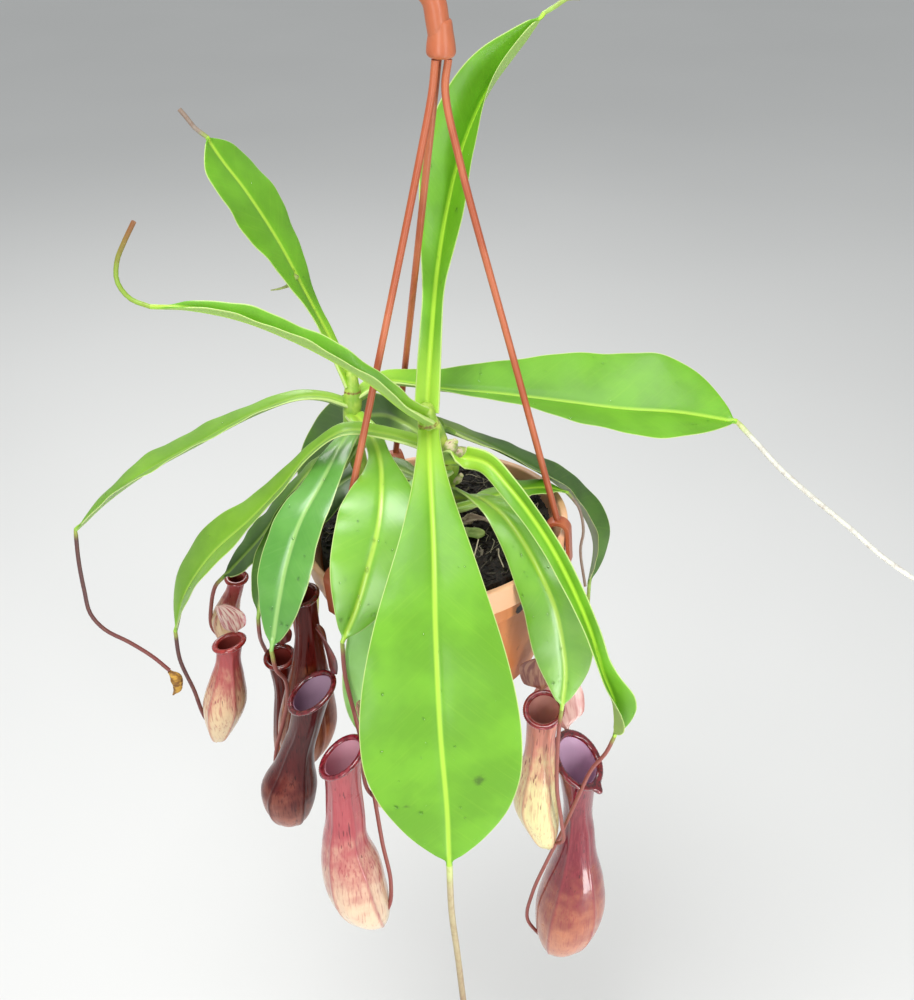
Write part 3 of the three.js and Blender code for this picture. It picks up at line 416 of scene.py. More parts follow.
# %% Waxy leaf skin
def leaf_skin(name, fresh, deep, below, stripe, rough, coat, blur=0.14):
    material, tree, shader, place, rib, edge, across, along, under, spot = new_material(
        name, "rib", "edge", "across", "along", "under", "spot")
    patches = add(tree, "TexNoise", {"Vector": place, "Scale": per_mm(25), "Detail": 3.0})
    specks = add(tree, "TexNoise", {"Vector": place, "Scale": per_mm(2.5), "Detail": 2.0})
    # Veins leave the midrib at a slant: the way along the leaf, less a share of the way off it.
    away = add(tree, "Math", {0: rib, 1: -0.9, 2: along}, operation="MULTIPLY_ADD")
    vein_place = add(tree, "CombineXYZ", {"X": away, "Y": across})
    vein_scale = add(tree, "VectorMath", {0: vein_place, 1: (0.7, 0.04, 1)}, operation="MULTIPLY")
    veins = add(tree, "TexNoise", {"Vector": vein_scale, "Scale": 1.0, "Detail": 2.0})
    blemish = add(tree, "Math", {0: spot, 1: specks}, operation="MULTIPLY")
    layers = [
        (patches, 0.35, 0.65, 1.0, fresh),
        (along, 48, 6, 0.5, stripe),  # the first 45 mm are more stalk than blade, and lighter
        (veins, 0.5, 0.8, 0.07, stripe),
        (under, 0, 1, 1.0, below),
        (rib, 1.7, 0.4, 0.8, stripe),
        (edge, 0.6, 0.15, 0.7, "CBDC8E"),
        (blemish, 0.12, 0.4, 0.75, "3C5A14"),
    ]
    under_rough = add(tree, "Math", {0: under, 1: 0.18, 2: rough}, operation="MULTIPLY_ADD")
    smudge = add(tree, "Math", {0: patches, 1: 0.16, 2: under_rough}, operation="MULTIPLY_ADD")
    relief = add(tree, "Math", {0: veins, 1: 0.5, 2: specks}, operation="MULTIPLY_ADD")
    fill(tree, shader, {
        "Base Color": painted(tree, deep, layers),
        "Roughness": smudge,
        "Normal": add(tree, "Bump", {"Height": relief, "Strength": 0.12, "Distance": 0.0005}),
        "IOR": 1.45,  # plant wax
        "Coat Weight": coat,
        "Coat Roughness": blur,
        "Subsurface Weight": 0.12,
        "Subsurface Radius": (0.0015, 0.003, 0.0006),
        "Subsurface Scale": 1.0,
    })
    return material


LEAF_LOOKS = {
    "fresh": ("6EAC1E", "629C18", "93B45C", "B4DC44", 0.42, 0.08),
    "wet": ("78B42A", "6BA822", "93B45C", "B8DC4A", 0.3, 0.9, 0.34),
    # painted light: lighter than its own green, to undo the front leaf's shade on it
    "cool": ("9CD678", "8CC864", "98C07C", "B6DC84", 0.3, 0.7, 0.3),
    "grown": ("7AAA2C", "6A9824", "86A45C", "A0C44E", 0.34, 0.15),
    "bluish": ("64A244", "559438", "86B377", "A2CC74", 0.28, 0.5, 0.24),
    # painted shade: a darker copy of the skin for the lower leaves and those behind
    "deep": ("4E7820", "3E6218", "68884A", "98B850", 0.36, 0.15),
}
leaf_skins = {look: leaf_skin("waxy_leaf_" + look, *tints) for look, tints in LEAF_LOOKS.items()}
print("leaf skins:", sorted(leaf_skins))

# %% [markdown]
# A tendril grows on out of the leaf's tip, so its colour starts as the leaf's stripe and
# changes over the first centimetres to dusty pink, cream or dry brown. It reads the distance in
# millimetres from the tip.

# %% Tendril skin
def tendril_skin(name, start, main, end, change, dry_from):
    material, tree, shader, place, reach, share = new_material(name, "reach", "ending")
    mottle = add(tree, "TexNoise", {"Vector": place, "Scale": per_mm(3), "Detail": 3.0})
    layers = [
        (reach, 1.0, change, 1.0, main),
        (share, dry_from, 1.0, 1.0, end),
        (mottle, 0.42, 0.75, 0.35, "7E5238"),
    ]
    fill(tree, shader, {
        "Base Color": painted(tree, start, layers),
        "Normal": add(tree, "Bump", {"Height": mottle, "Strength": 0.3, "Distance": 0.0004}),
        "Roughness": 0.42,
        "IOR": 1.45,
    })
    return material


TENDRIL_LOOKS = {
    "cream": ("C8D98A", "D6D6CA", "DCDCD2", 14, 0.5),
    "tan": ("C4D184", "B4A680", "8E745A", 16, 0.2),
    "green": ("9CC257", "8FB04A", "A9A763", 14, 0.4),
    "green_dry": ("8DB03C", "86A63A", "8A5A34", 10, 0.35),
    "dry": ("93A65A", "94867A", "8C7A6C", 5, 0.3),
    "dusty_red": ("94A048", "94524A", "8C4440", 10, 0.6),
    "dusky_brown": ("94A048", "5A3B3A", "7E4240", 6, 0.3),
}
tendril_skins = {
    look: tendril_skin("tendril_" + look, *tints) for look, tints in TENDRIL_LOOKS.items()
}
print("tendril skins:", sorted(tendril_skins))

# %% [markdown]
# The leaf itself is one grid. Each ring has a row of points over the top of the blade, close
# together at the midrib and at the margins, and the same row back below. The midrib is a
# shallow channel above and a rounded keel below, and the margins thin out to a rounded edge. At
# the tip the ring closes to a circle and runs on as the tendril.

# %% Build a leaf
HALF_ACROSS = np.array([1, 0.972, 0.92, 0.84, 0.73, 0.6, 0.46, 0.33, 0.22, 0.13, 0.06])
ACROSS = np.concatenate([HALF_ACROSS, [0], -HALF_ACROSS[::-1]])
BLADE, STALK = 0.8, 2.4  # thickness of the blade and of its first, stalk-like part
TENDRIL, RIDGE, CHANNEL = 1.1, 1.0, 0.55  # radius, keel under the midrib, groove over it
CHANNEL_REACH, RIDGE_REACH, LEAN_REACH = 1.5, 1.7, 1.6  # how far they spread from the midrib
EDGE_POWER, EDGE_LEAST = 10, 0.02  # the blade keeps its thickness almost to the margin
LONG_RIPPLES, SHORT_RIPPLES = 26, 61  # turns of the two waves along a margin, in radians
RING_GAP, TENDRIL_GAP, TIP_CROWDING = 2.4, 3, 1.25  # rings are closer together at the tip


def half_width(leaf, t):
    stalk, narrow, peak = leaf.get("stalk", 5.5), leaf.get("narrow", 0), leaf["peak"]
    opening = stalk + (leaf["half"] - stalk) * smooth((t - narrow) / (peak - narrow))
    past = np.clip((t - peak) / (1 - peak), 0, 1)
    closing = leaf["half"] * (1 - past ** leaf.get("pointed", 2.3))
    return np.where(t < peak, opening, closing)


def leaf_frames(leaf, along, t):
    """The sideways and the upward direction at each station."""
    sides = np.array(leaf["sides"], float)
    place = np.minimum(t, 1) * (len(sides) - 1)
    side = np.column_stack([np.interp(place, np.arange(len(sides)), column) for column in sides.T])
    side = unit(side - along * np.sum(side * along, axis=1, keepdims=True))
    return side, np.cross(along, side)


def leaf_rings(leaf, centre, along, t, seed):
    side, face = leaf_frames(leaf, along, t)
    cord = leaf.get("cord", TENDRIL)
    width = np.maximum(np.where(t < 1, half_width(leaf, t), 0), cord)[:, None]
    round_share = smooth((4 * cord - width) / (3 * cord))
    fold, tip = leaf.get("fold", (8, 8)), leaf.get("fold_tip", leaf.get("fold", (8, 8)))
    share = np.minimum(t, 1)[:, None]
    v = ACROSS[None, :]
    rise = np.where(v > 0, between(fold[0], tip[0], share), between(fold[1], tip[1], share))
    angle = np.radians(rise)
    off = np.abs(v)
    wave = leaf.get("wave", 0.7) * v**2 * (width / leaf["half"])
    ripple = wave * np.sin(LONG_RIPPLES * t[:, None] + np.where(v > 0, 0, 2))
    short = np.sin(SHORT_RIPPLES * t[:, None] + seed + np.where(v > 0, 0, 1.3))
    ripple = ripple + 0.35 * wave * short
    off_rib = width * off
    channel = CHANNEL * bell(off_rib / CHANNEL_REACH) * (1 - round_share)
    height = width * (np.sin(angle) * off + leaf.get("arch", -0.1) * v**2) + ripple
    full = between(STALK, BLADE, smooth(share / 0.25))
    thick = full * np.sqrt(np.maximum(1 - off**EDGE_POWER, EDGE_LEAST))
    keel = RIDGE * between(1.2, 0.5, share) * bell(off_rib / RIDGE_REACH)
    # Depths are measured square to each half of the blade, and straight down at the midrib.
    lean = angle * smooth(off_rib / LEAN_REACH) * np.sign(v)
    top_depth, bottom_depth = (full - thick) / 2 + channel, (full + thick) / 2 + keel
    flat = width * v * np.cos(angle)
    flat_top, flat_under = flat + top_depth * np.sin(lean), flat + bottom_depth * np.sin(lean)
    lift_top, lift_under = height - top_depth * np.cos(lean), height - bottom_depth * np.cos(lean)
    count = 2 * len(ACROSS)
    turn = np.radians(360 * (np.arange(count) + 0.5) / count)[None, :]
    flat_all = np.hstack([flat_top, flat_under[:, ::-1]])
    lift_all = np.hstack([lift_top, lift_under[:, ::-1]])
    flat_all = between(flat_all, cord * np.cos(turn), round_share)[..., None]
    lift_all = between(lift_all, cord * np.sin(turn), round_share)[..., None]
    rings = centre[:, None] + side[:, None] * flat_all + face[:, None] * lift_all
    there = np.hstack([ACROSS, ACROSS[::-1]])[None, :]
    under = np.hstack([np.zeros(len(ACROSS)), np.ones(len(ACROSS))])[None, :]
    values = {
        "rib": width * np.abs(there), "across": width * there, "under": under,
        "edge": width * (1 - np.abs(there)) + 3 * round_share,
    }
    return rings, values


def leaf_part(leaf, seed=0.0):
    """The part, and the points of the blade's upper face for the drops to sit on."""
    route = route_through(leaf["rib"])
    length = walk(route, [1])[2]
    t = 1 - (1 - np.linspace(0, 1, int(length / RING_GAP) + 1)) ** TIP_CROWDING
    centre, along, _ = walk(route, t)
    blade_count = len(t)
    reach, ending = np.zeros(blade_count), np.zeros(blade_count)
    if "tendril" in leaf:
        out = route_through([leaf["rib"][-1], *leaf["tendril"]])
        out_length = walk(out, [1])[2]
        shares = np.linspace(0, 1, int(out_length / TENDRIL_GAP) + 1)[1:]
        more, more_along, _ = walk(out, shares)
        centre, along = np.vstack([centre, more]), np.vstack([along, more_along])
        t = np.concatenate([t, np.ones(len(shares))])
        reach = np.concatenate([reach, shares * out_length])
        ending = np.concatenate([ending, shares])
    rings, values = leaf_rings(leaf, centre, along, t, seed)
    distance = t * length
    values |= {"along": distance[:, None], "reach": reach[:, None], "ending": ending[:, None]}
    spot = np.zeros(rings.shape[:2])
    for at, over, size in leaf.get("spots", []):
        gap = np.hypot(distance[:, None] - at * length, values["across"] - over * leaf["half"])
        spot = np.maximum(spot, bell(gap / size) * (1 - values["under"]))
    values["spot"] = spot
    finish = (np.arange(len(t) - 1) >= blade_count - 1).astype(int)
    return skin(rings, finish, values), rings[:blade_count, : len(ACROSS)]


# %% [markdown]
# Round tubes serve for stems, roots, the hanger's rods and loose fibres. The radii are spread
# evenly along the route and blended smoothly, and the ends are closed.

# %% Round tubes
def tube(points, radii, steps, sides=24, finish=0, values=None, domed=False):
    route = route_through(points)
    share = np.linspace(0, 1, steps + 1)
    centre, along, length = walk(route, share)
    place = share * (len(radii) - 1)
    left = np.minimum(place.astype(int), len(radii) - 2)
    radii = np.array(radii, float)
    radius = between(radii[left], radii[left + 1], smooth(place - left))
    side = np.empty_like(along)
    side[0] = (1, 0, 0)
    for i, way in enumerate(along):
        held = side[max(i - 1, 0)]
        side[i] = unit(held - way * held.dot(way))
    other = np.cross(along, side)
    if domed:
        dome = np.radians([0, 35, 60, 80])
        end, tip = centre[-1], radius[-1]
        centre = np.vstack([centre, end + along[-1] * (tip * np.sin(dome[1:]))[:, None]])
        radius = np.concatenate([radius, tip * np.cos(dome[1:])])
        side, other = (np.vstack([a, np.repeat(a[-1:], 3, axis=0)]) for a in (side, other))
    turn = full_turn(sides)
    ring = side[:, None] * np.cos(turn)[:, None] + other[:, None] * np.sin(turn)[:, None]
    rings = centre[:, None] + ring * radius[:, None, None]
    given = values(np.linspace(0, length, len(rings)), length) if values else {}
    return skin(rings, finish, {k: v[:, None] for k, v in given.items()})


# %% Grow the leaves
leaf_tops = {}
for number, (node, leaf) in enumerate(LEAVES.items()):
    part, top = leaf_part(leaf, seed=1.7 * number)
    if "spur" in leaf:
        part = joined(part, tube(leaf["spur"], [1.4, 1, 0.6, 0.3], 14, 12, finish=1))
    finishes = [leaf_skins[leaf["skin"]], tendril_skins[leaf["thread"]]]
    piece(node + "_grown", part, finishes, node)
    leaf_tops[node] = top
print("leaves grown:", len(leaf_tops), "triangles:", sum(totals.values()))

# %% [markdown]
# The pitchers are fleshy cups that hang from the tendrils. Each is a round tube that swells
# below and narrows to a neck, with a ribbed, shiny rolled rim. The control points give the
# centre and the radius of rings from the bottom up to the mouth, the way the mouth faces and
# the side that the lid stands on.

# %% Control points of the pitchers, in millimetres
PITCHERS = {
    "pitcher_left": dict(
        rings=[(-125, -28, -131, 1), (-123, -28, -128, 4), (-121, -28, -119, 8),
               (-117, -28, -101, 12), (-114, -28, -84, 9.5), (-112, -28, -71, 7),
               (-110, -28, -60, 7.5)],
        mouth=(-0.23, 0.1, 0.97), lid=(0.4, 0.9, 0), lid_rise=(-0.5, 0, 0.86), lid_size=1.35,
        look="pale", slot="pitcher_cream"),
    "pitcher_left_smallest": dict(
        rings=[(-119, 3, -84, 1), (-119, 3, -79, 5), (-118, 3, -66, 7.8), (-114, 3, -54, 5.8),
               (-111, 3, -47, 4.8), (-109, 3, -40, 4.6)],
        mouth=(0, -0.1, 1), lid=(0.2, 1, 0), look="pale", slot="pitcher_cream"),
    "pitcher_left_front": dict(
        rings=[(-80, -70, -149, 3), (-79, -70, -145, 9), (-79, -70, -135, 13.6),
               (-78, -70, -122, 15), (-74, -70, -105, 10.5), (-71, -70, -93, 8.8),
               (-67, -70, -80, 9.5), (-61, -70, -57, 12.5)],
        mouth=(-0.5, -0.03, 0.87), lid=(0.9, 0.35, 0.2), lid_rise=(-0.45, 0.1, 0.9), lid_size=1.15,
        look="brown", slot="pitcher_red"),
    "pitcher_centre_left": dict(
        rings=[(-33, -94, -204, 3), (-36, -94, -198, 10), (-40, -94, -186, 14.5),
               (-43, -94, -172, 16.3), (-45, -94, -154, 15.6), (-47, -94, -136, 12),
               (-46, -94, -119, 10.3), (-46, -94, -100, 10), (-45, -94, -78, 12)],
        mouth=(-0.55, 0.01, 0.83), lid=(1, 0.1, 0.3), look="rose", slot="pitcher_red"),
    "pitcher_left_rear": dict(
        rings=[(-75, -40, -133, 3), (-74, -40, -127, 9), (-72, -40, -116, 14.5),
               (-70, -40, -104, 16), (-68, -41, -84, 13.5), (-66, -43, -61, 9.5),
               (-65, -44, -40, 6.8), (-65, -44, -25, 6), (-65, -44, -15, 6)],
        mouth=(-0.2, -0.2, 0.95), lid=(-0.6, 0.8, 0), look="dark", slot="pitcher_red"),
    "pitcher_left_thin": dict(
        rings=[(-87, -20, -156, 2), (-87, -20, -151, 6), (-86, -20, -139, 8), (-86, -20, -119, 6.5),
               (-85, -21, -97, 5.3), (-85, -22, -75, 7)],
        mouth=(-0.1, -0.2, 0.97), look="dark", slot="pitcher_red"),
    "pitcher_behind_front": dict(
        rings=[(-28, -58, -149, 2), (-27, -58, -144, 6.5), (-26, -58, -133, 9.5),
               (-25, -58, -117, 7), (-23, -58, -102, 5.5), (-22, -58, -88, 6.5)],
        mouth=(-0.1, -0.2, 0.97), look="pale", slot="pitcher_cream"),
    "pitcher_right_front": dict(
        rings=[(65, -50, -195, 1.5), (63, -50, -189, 5.5), (60, -50, -175, 10),
               (56, -50, -157, 12.4), (56, -50, -138, 11), (57, -50, -118, 8.6),
               (57, -50, -105, 8), (58, -50, -87, 9.2)],
        mouth=(-0.15, -0.45, 0.88), lid_size=1.25, look="yellow", slot="pitcher_cream"),
    "pitcher_right": dict(
        rings=[(74, -38, -304, 3), (77, -38, -299, 11), (80, -38, -283, 19.5),
               (82, -38, -259, 21.3), (83, -38, -236, 18), (83, -38, -212, 12.3),
               (83, -38, -192, 9.8), (82, -38, -175, 9.5), (79, -38, -137, 15.5)],
        mouth=(0.58, -0.23, 0.77), lid=(-0.5, 0.85, 0), lid_rise=(-0.25, 0.15, 1), look="maroon",
        slot="pitcher_red", rim=1.35, spur=(0.95, 4.5)),
}
print("pitchers:", len(PITCHERS))

# %% [markdown]
# A pitcher's wall is wet-looking flesh: pale at the belly, darker towards the neck, with fine
# veins that run up it and short dark dashes. The pattern is noise drawn out along the height,
# so it has no seam, and the share of the height rides on the points. The two wings on the front
# are only low ribs, a little darker than the wall.

# %% Fleshy pitcher wall
def pitcher_wall(name, belly, neck, vein, streak, low, high, wet):
    material, tree, shader, place, up, wing = new_material(name, "up", "wing")
    clouds = add(tree, "TexNoise", {"Vector": place, "Scale": per_mm(9), "Detail": 3.0})
    cloudy = add(tree, "Math", {0: clouds, 1: 0.5, 2: up}, operation="MULTIPLY_ADD")
    # Fine veins: threads about 1 mm apart, drawn out twelve times along the height, denser above.
    drawn = add(tree, "VectorMath", {0: place, 1: (1, 1, 0.08)}, operation="MULTIPLY")
    veins = add(tree, "TexNoise", {"Vector": drawn, "Scale": per_mm(1.0), "Detail": 3.0,
                                   "Distortion": 0.3})
    denser = add(tree, "MapRange", {"Value": cloudy, "From Min": 0.3, "From Max": 1.0,
                                    "To Min": 0.74, "To Max": 1.0})
    threads = add(tree, "Math", {0: veins, 1: denser}, operation="MULTIPLY")
    # Dashes: well under 1 mm wide and 6 mm long, only where the neck's own colour has set in.
    longer = add(tree, "VectorMath", {0: place, 1: (1, 1, 0.11)}, operation="MULTIPLY")
    dashes = add(tree, "TexNoise", {"Vector": longer, "Scale": per_mm(1.25), "Detail": 1.0,
                                    "Roughness": 0.4})
    on_neck = add(tree, "MapRange", {"Value": up, "From Min": 0.3, "From Max": 0.6,
                                     "To Min": 0.8, "To Max": 1.0})
    strokes = add(tree, "Math", {0: dashes, 1: on_neck}, operation="MULTIPLY")
    layers = [
        (cloudy, low + 0.2, high + 0.3, 1.0, neck),
        (threads, 0.42, 0.66, 0.7, vein),
        (strokes, 0.67, 0.72, 0.75, streak),
        (wing, 0, 1, 0.55, vein),
    ]
    fill(tree, shader, {
        "Base Color": painted(tree, belly, layers),
        "Roughness": add(tree, "MapRange", {"Value": clouds, "To Min": 0.2, "To Max": 0.42}),
        "Normal": add(tree, "Bump", {"Height": veins, "Strength": 0.35, "Distance": 0.0004}),
        "Coat Normal": add(tree, "Bump", {"Height": veins, "Strength": 0.12, "Distance": 0.0003}),
        "IOR": 1.42,  # wet plant flesh
        "Specular IOR Level": 0.15,
        "Coat Weight": wet,
        "Coat Roughness": 0.09,
        "Subsurface Weight": 0.12,
        "Subsurface Radius": (0.004, 0.0015, 0.001),
        "Subsurface Scale": 1.0,
    })
    return material


WALL_LOOKS = {
    "pale": ("E6CBA0", "B04E50", "A84C4C", "6E2A2C", 0.4, 0.85, 0.6),
    "brown": ("A0604C", "521616", "3A0A0C", "180404", 0.15, 0.55, 0.4),
    "rose": ("E4C9A8", "AE4E54", "A04048", "541C22", 0.25, 0.75, 0.8),
    "dark": ("A0603C", "500C04", "5C140A", "240604", 0.3, 0.65, 0.3),
    "yellow": ("E0D69C", "CC8674", "BC7866", "70342C", 0.5, 0.85, 0.6),
    "maroon": ("C27C58", "761C2C", "8C303A", "340C14", 0.15, 0.65, 0.9),
}
walls = {look: pitcher_wall("pitcher_flesh_" + look, *tints) for look, tints in WALL_LOOKS.items()}
print("pitcher walls:", sorted(walls))

# %% [markdown]
# The rolled rim is hard, ribbed and slippery, so it is the glossiest place on the plant. The
# inside is a pale waxy lilac or pink. The lids are striped lengthwise. Each of the three is a
# short material of its own.

# %% Rim, inside and lid
def rim_skin(name, bright, dark):
    material, tree, shader, place = new_material(name)
    bands = add(tree, "TexNoise", {"Vector": place, "Scale": per_mm(2.4), "Detail": 2.0})
    layers = [(bands, 0.35, 0.65, 1.0, bright)]
    fill(tree, shader, {"Base Color": painted(tree, dark, layers), "Roughness": 0.22,
                        "Coat Weight": 0.8, "Coat Roughness": 0.06})
    return material


def inside_skin(name, high, deep):
    material, tree, shader, place, up = new_material(name, "up")
    mottle = add(tree, "TexNoise", {"Vector": place, "Scale": per_mm(4), "Detail": 4.0})
    uneven = add(tree, "Math", {0: mottle, 1: 0.2, 2: up}, operation="MULTIPLY_ADD")
    layers = [(uneven, 0.5, 1.0, 1.0, high)]
    fill(tree, shader, {"Base Color": painted(tree, deep, layers), "Roughness": 0.5})
    return material


def lid_skin(name, ground, stripe):
    material, tree, shader, _, over, length = new_material(name, "over", "long")
    spread = add(tree, "CombineXYZ", {"X": over, "Y": length})
    drawn = add(tree, "VectorMath", {0: spread, 1: (5.5, 0.7, 1)}, operation="MULTIPLY")
    lines = add(tree, "TexNoise", {"Vector": drawn, "Scale": 1.0, "Detail": 3.0})
    layers = [(lines, 0.42, 0.6, 1.0, stripe)]
    fill(tree, shader, {
        "Base Color": painted(tree, ground, layers),
        "Normal": add(tree, "Bump", {"Height": lines, "Strength": 0.4, "Distance": 0.0006}),
        "Roughness": 0.33,
        "Coat Weight": 0.4,
        "Coat Roughness": 0.12,
    })
    return material


TINTS = {
    "pale": [("rim_rosy", "B03A36", "8A2423"), ("inside_dusky_red", "A0463F", "6A2A26"),
             ("lid_pink_stripes", "EBCFBE", "BC6262")],
    "brown": [("rim_dark_crimson", "741C24", "470A10"), ("inside_grey_lilac", "A4859A", "C8B2C8"),
              ("lid_dark_red", "7A2420", "420E0E")],
    "rose": [("rim_crimson", "962A38", "62101C"), ("inside_pink_lilac", "D49CAA", "DEB8C2"),
             ("lid_rose", "C08A7C", "8E3F46")],
    "dark": [("rim_deep_red", "7A2018", "4A0E0B"), ("inside_dark_red", "7A2A22", "4E1714"),
             ("lid_red_brown", "7A2E24", "4A1512")],
    "yellow": [("rim_pink_red", "AE3E44", "7E222C"), ("inside_pink", "D89A90", "B4706A"),
               ("lid_tan", "B07C64", "864A40")],
    "maroon": [("rim_bright_crimson", "80141F", "4C0810"), ("inside_lilac", "D2ACC8", "E0C8DC"),
               ("lid_pale_pink", "E2B8AC", "C88880")],
}
looks = {}
for look, rows in TINTS.items():
    made = [make(*row) for make, row in zip((rim_skin, inside_skin, lid_skin), rows)]
    looks[look] = [walls[look], *made]
print("pitcher looks:", sorted(looks))

# %% [markdown]
# The cup's rings are finer than the CAD's, and the rim is a rolled lip whose ribs are real
# steps in the mesh, every second point a little proud. One pitcher has a small spur on its rim.

# %% Build a pitcher
SIDES, PER_SPAN = 112, 8  # points round a ring, and rings between two control rings
MOUTH_RINGS = 2.5  # the mouth's slant fades out over this many control rings
WALL_THICK, CAP_DROP = 1.0, 1.5  # the wall, and the bottom's cap below the first ring
WING, RIB = 0.75, 0.11  # how proud the wings and the rim's ribs stand
LID_RINGS, LID_ACROSS, LID_THICK = 30, 21, 0.75  # rings up the lid, points across it, thickness
# The rolled lip's outline, as steps outward and up from the mouth's edge.
ROLL = [(0.25, -0.5), (1.1, -0.25), (1.75, 0.3), (2.05, 1.0), (1.9, 1.65), (1.4, 2.1), (0.7, 2.3),
        (0.0, 2.2), (-0.6, 1.85), (-0.95, 1.3), (-1.05, 0.6)]


def ring_of(centre, normal, radius, turn):
    """Rings round each centre, square to its normal; the turn starts at the front."""
    front = np.array([0.0, -1.0, 0.0])
    forward = unit(front - normal * (normal @ front)[:, None])
    across = np.cross(forward, normal)
    flat = forward[:, None] * np.cos(turn)[..., None] - across[:, None] * np.sin(turn)[..., None]
    return centre[:, None] + flat * radius[..., None]


def wing_shares(up, turn, radius):
    """Two low ribs on the front, closer together at the neck than at the belly."""
    spread = between(math.radians(44), math.radians(26), up)[:, None]
    aside = np.abs((turn + math.pi) % (2 * math.pi) - math.pi) - spread
    wing = bell(aside * radius[:, None] / 1.1) * smooth((0.97 - up) / 0.1)[:, None]
    return wing * smooth(up / 0.08)[:, None]


def lid_part(pitcher, centre, normal, radius):
    rise = unit(pitcher.get("lid_rise", between(normal, UP, 0.5)))
    size = radius * pitcher.get("lid_size", 1)
    back = np.array(pitcher.get("lid", (0, 1, 0)), float)
    back = unit(back - normal * back.dot(normal))
    across = unit(np.cross(back, rise))
    t = np.linspace(0, 1, LID_RINGS)[:, None]
    rounded = np.sqrt(np.sin(math.pi * np.minimum(0.06 + 0.92 * t, 1)))
    width = between(1.3, np.maximum(0.9, 0.95 * size * rounded), smooth((t - 0.06) / 0.14))
    v = np.linspace(1, -1, LID_ACROSS)[None, :]
    wavy = 0.35 * np.sin(9 * t + 4 * v) * v**2
    cup = width * (0.2 * np.abs(v) ** 2.32 - 0.1) + wavy - 0.3 * bell(v * width / 0.9)
    # It stands just behind the rim and bows back as it rises.
    middle = (centre + back * (radius + 0.4))[None] + back * size * 0.5 * np.sin(1.9 * t)
    middle = middle + rise * size * (0.1 + 1.9 * t)
    front = middle[:, None] + across * (width * v)[..., None] + back * cup[..., None]
    thick = LID_THICK * np.sqrt(np.maximum(1 - np.abs(v) ** 8, 0.05))
    rear = front + back * thick[..., None]
    rings = np.concatenate([rear, front[:, ::-1]], axis=1)
    both = np.hstack([v, v[:, ::-1]])
    return skin(rings, 3, {"over": both, "long": 3 * t})


def pitcher_part(pitcher):
    knots = np.array(pitcher["rings"], float)
    line = route_through(knots, PER_SPAN)
    place = np.arange(len(line)) / PER_SPAN
    count = len(knots)
    lean = smooth(1 - (count - 1 - place) / MOUTH_RINGS)[:, None]
    mouth = unit(pitcher["mouth"])
    normal = unit(between(UP[None], mouth[None], lean))
    centre, radius = line[:, :3], np.maximum(line[:, 3], 0.8)
    # Below its widest ring a blunt pitcher is half an ellipsoid. Three of them end in a point.
    round_bottom = knots[0, 3] >= 2
    widest = np.argmax(knots[:, 3])
    belly, end = knots[widest], knots[0, 2] - CAP_DROP

    def belly_radius(height):
        return belly[3] * np.sqrt(np.maximum(1 - ((belly[2] - height) / (belly[2] - end)) ** 2, 0))

    if round_bottom:
        low = place < widest
        radius[low] = belly_radius(centre[low, 2])
    turn = full_turn(SIDES)[None]
    up = place / (count - 1)
    wing = wing_shares(up, turn, radius)
    outer = ring_of(centre, normal, radius[:, None] + WING * wing, turn)
    # The bottom closes in a small round cap.
    cap_centre = centre[0] - UP * (CAP_DROP * np.array([0.93, 0.7, 0.4]))[:, None]
    pointed = radius[0] * np.array([0.3, 0.64, 0.86])
    cap_radius = belly_radius(cap_centre[:, 2]) if round_bottom else pointed
    cap = ring_of(cap_centre, normal[:1], cap_radius[:, None], turn)
    size = pitcher.get("rim", 1.0)
    ribs = RIB * (-1.0) ** np.arange(SIDES)
    out, high = (np.array(column)[:, None] * size for column in zip(*ROLL))
    lip_radius = radius[-1] + out + ribs * smooth(high)
    spur_place, spur_high = pitcher.get("spur", (0, 0))
    near = bell((turn - spur_place) / 0.14)
    lip_radius = lip_radius + spur_high * near * smooth(out / 1.2)
    lip = ring_of(centre[-1] + mouth * high, mouth[None], lip_radius, turn)
    roomy = [i for i in range(PER_SPAN, len(line)) if radius[i] > 4 * WALL_THICK][::-1]
    lining_radius = radius[roomy][:, None] - WALL_THICK
    lining = ring_of(centre[roomy] + UP * WALL_THICK, normal[roomy], lining_radius, turn)
    rings = np.vstack([cap, outer, lip, lining])
    heights = np.concatenate([np.zeros(3), up, np.ones(len(ROLL)), up[roomy]])[:, None]
    wings = np.vstack([np.zeros((3, SIDES)), wing, np.zeros((len(ROLL) + len(roomy), SIDES))])
    finish = np.repeat([0, 1, 2], [len(cap) + len(line) - 1, len(ROLL), len(roomy)])
    cup = skin(rings, finish, {"up": heights, "wing": wings})
    return joined(cup, lid_part(pitcher, centre[-1], mouth, radius[-1]))


for node, pitcher in PITCHERS.items():
    piece(node + "_cup", pitcher_part(pitcher), looks[pitcher["look"]], node)
print("pitchers made, triangles so far:", sum(totals.values()))

# %% [markdown]
# The stems are green and jointed: at each old leaf scar they swell, and a thin brown line runs
# round them. The scars' places ride on the points as a value. Old sheaths stand as pale
# swellings where leaf stalks leave the stems; each is given by its points, its radii and its
# number of rings.

# %% Stem skin and the stems
def stem_skin():
    material, tree, shader, place, scar = new_material("green_stem", "scar")
    mottle = add(tree, "TexNoise", {"Vector": place, "Scale": per_mm(7), "Detail": 4.0})
    fine = add(tree, "TexNoise", {"Vector": place, "Scale": per_mm(1.2), "Detail": 3.0})
    broken = add(tree, "Math", {0: scar, 1: fine}, operation="MULTIPLY")
    layers = [
        (mottle, 0.35, 0.65, 1.0, "BBD25A"),
        (broken, 0.18, 0.5, 0.9, "7A4A28"),
    ]
    fill(tree, shader, {
        "Base Color": painted(tree, "84B036", layers),
        "Normal": add(tree, "Bump", {"Height": fine, "Strength": 0.4, "Distance": 0.0005}),
        "Roughness": 0.42,
    })
    return material


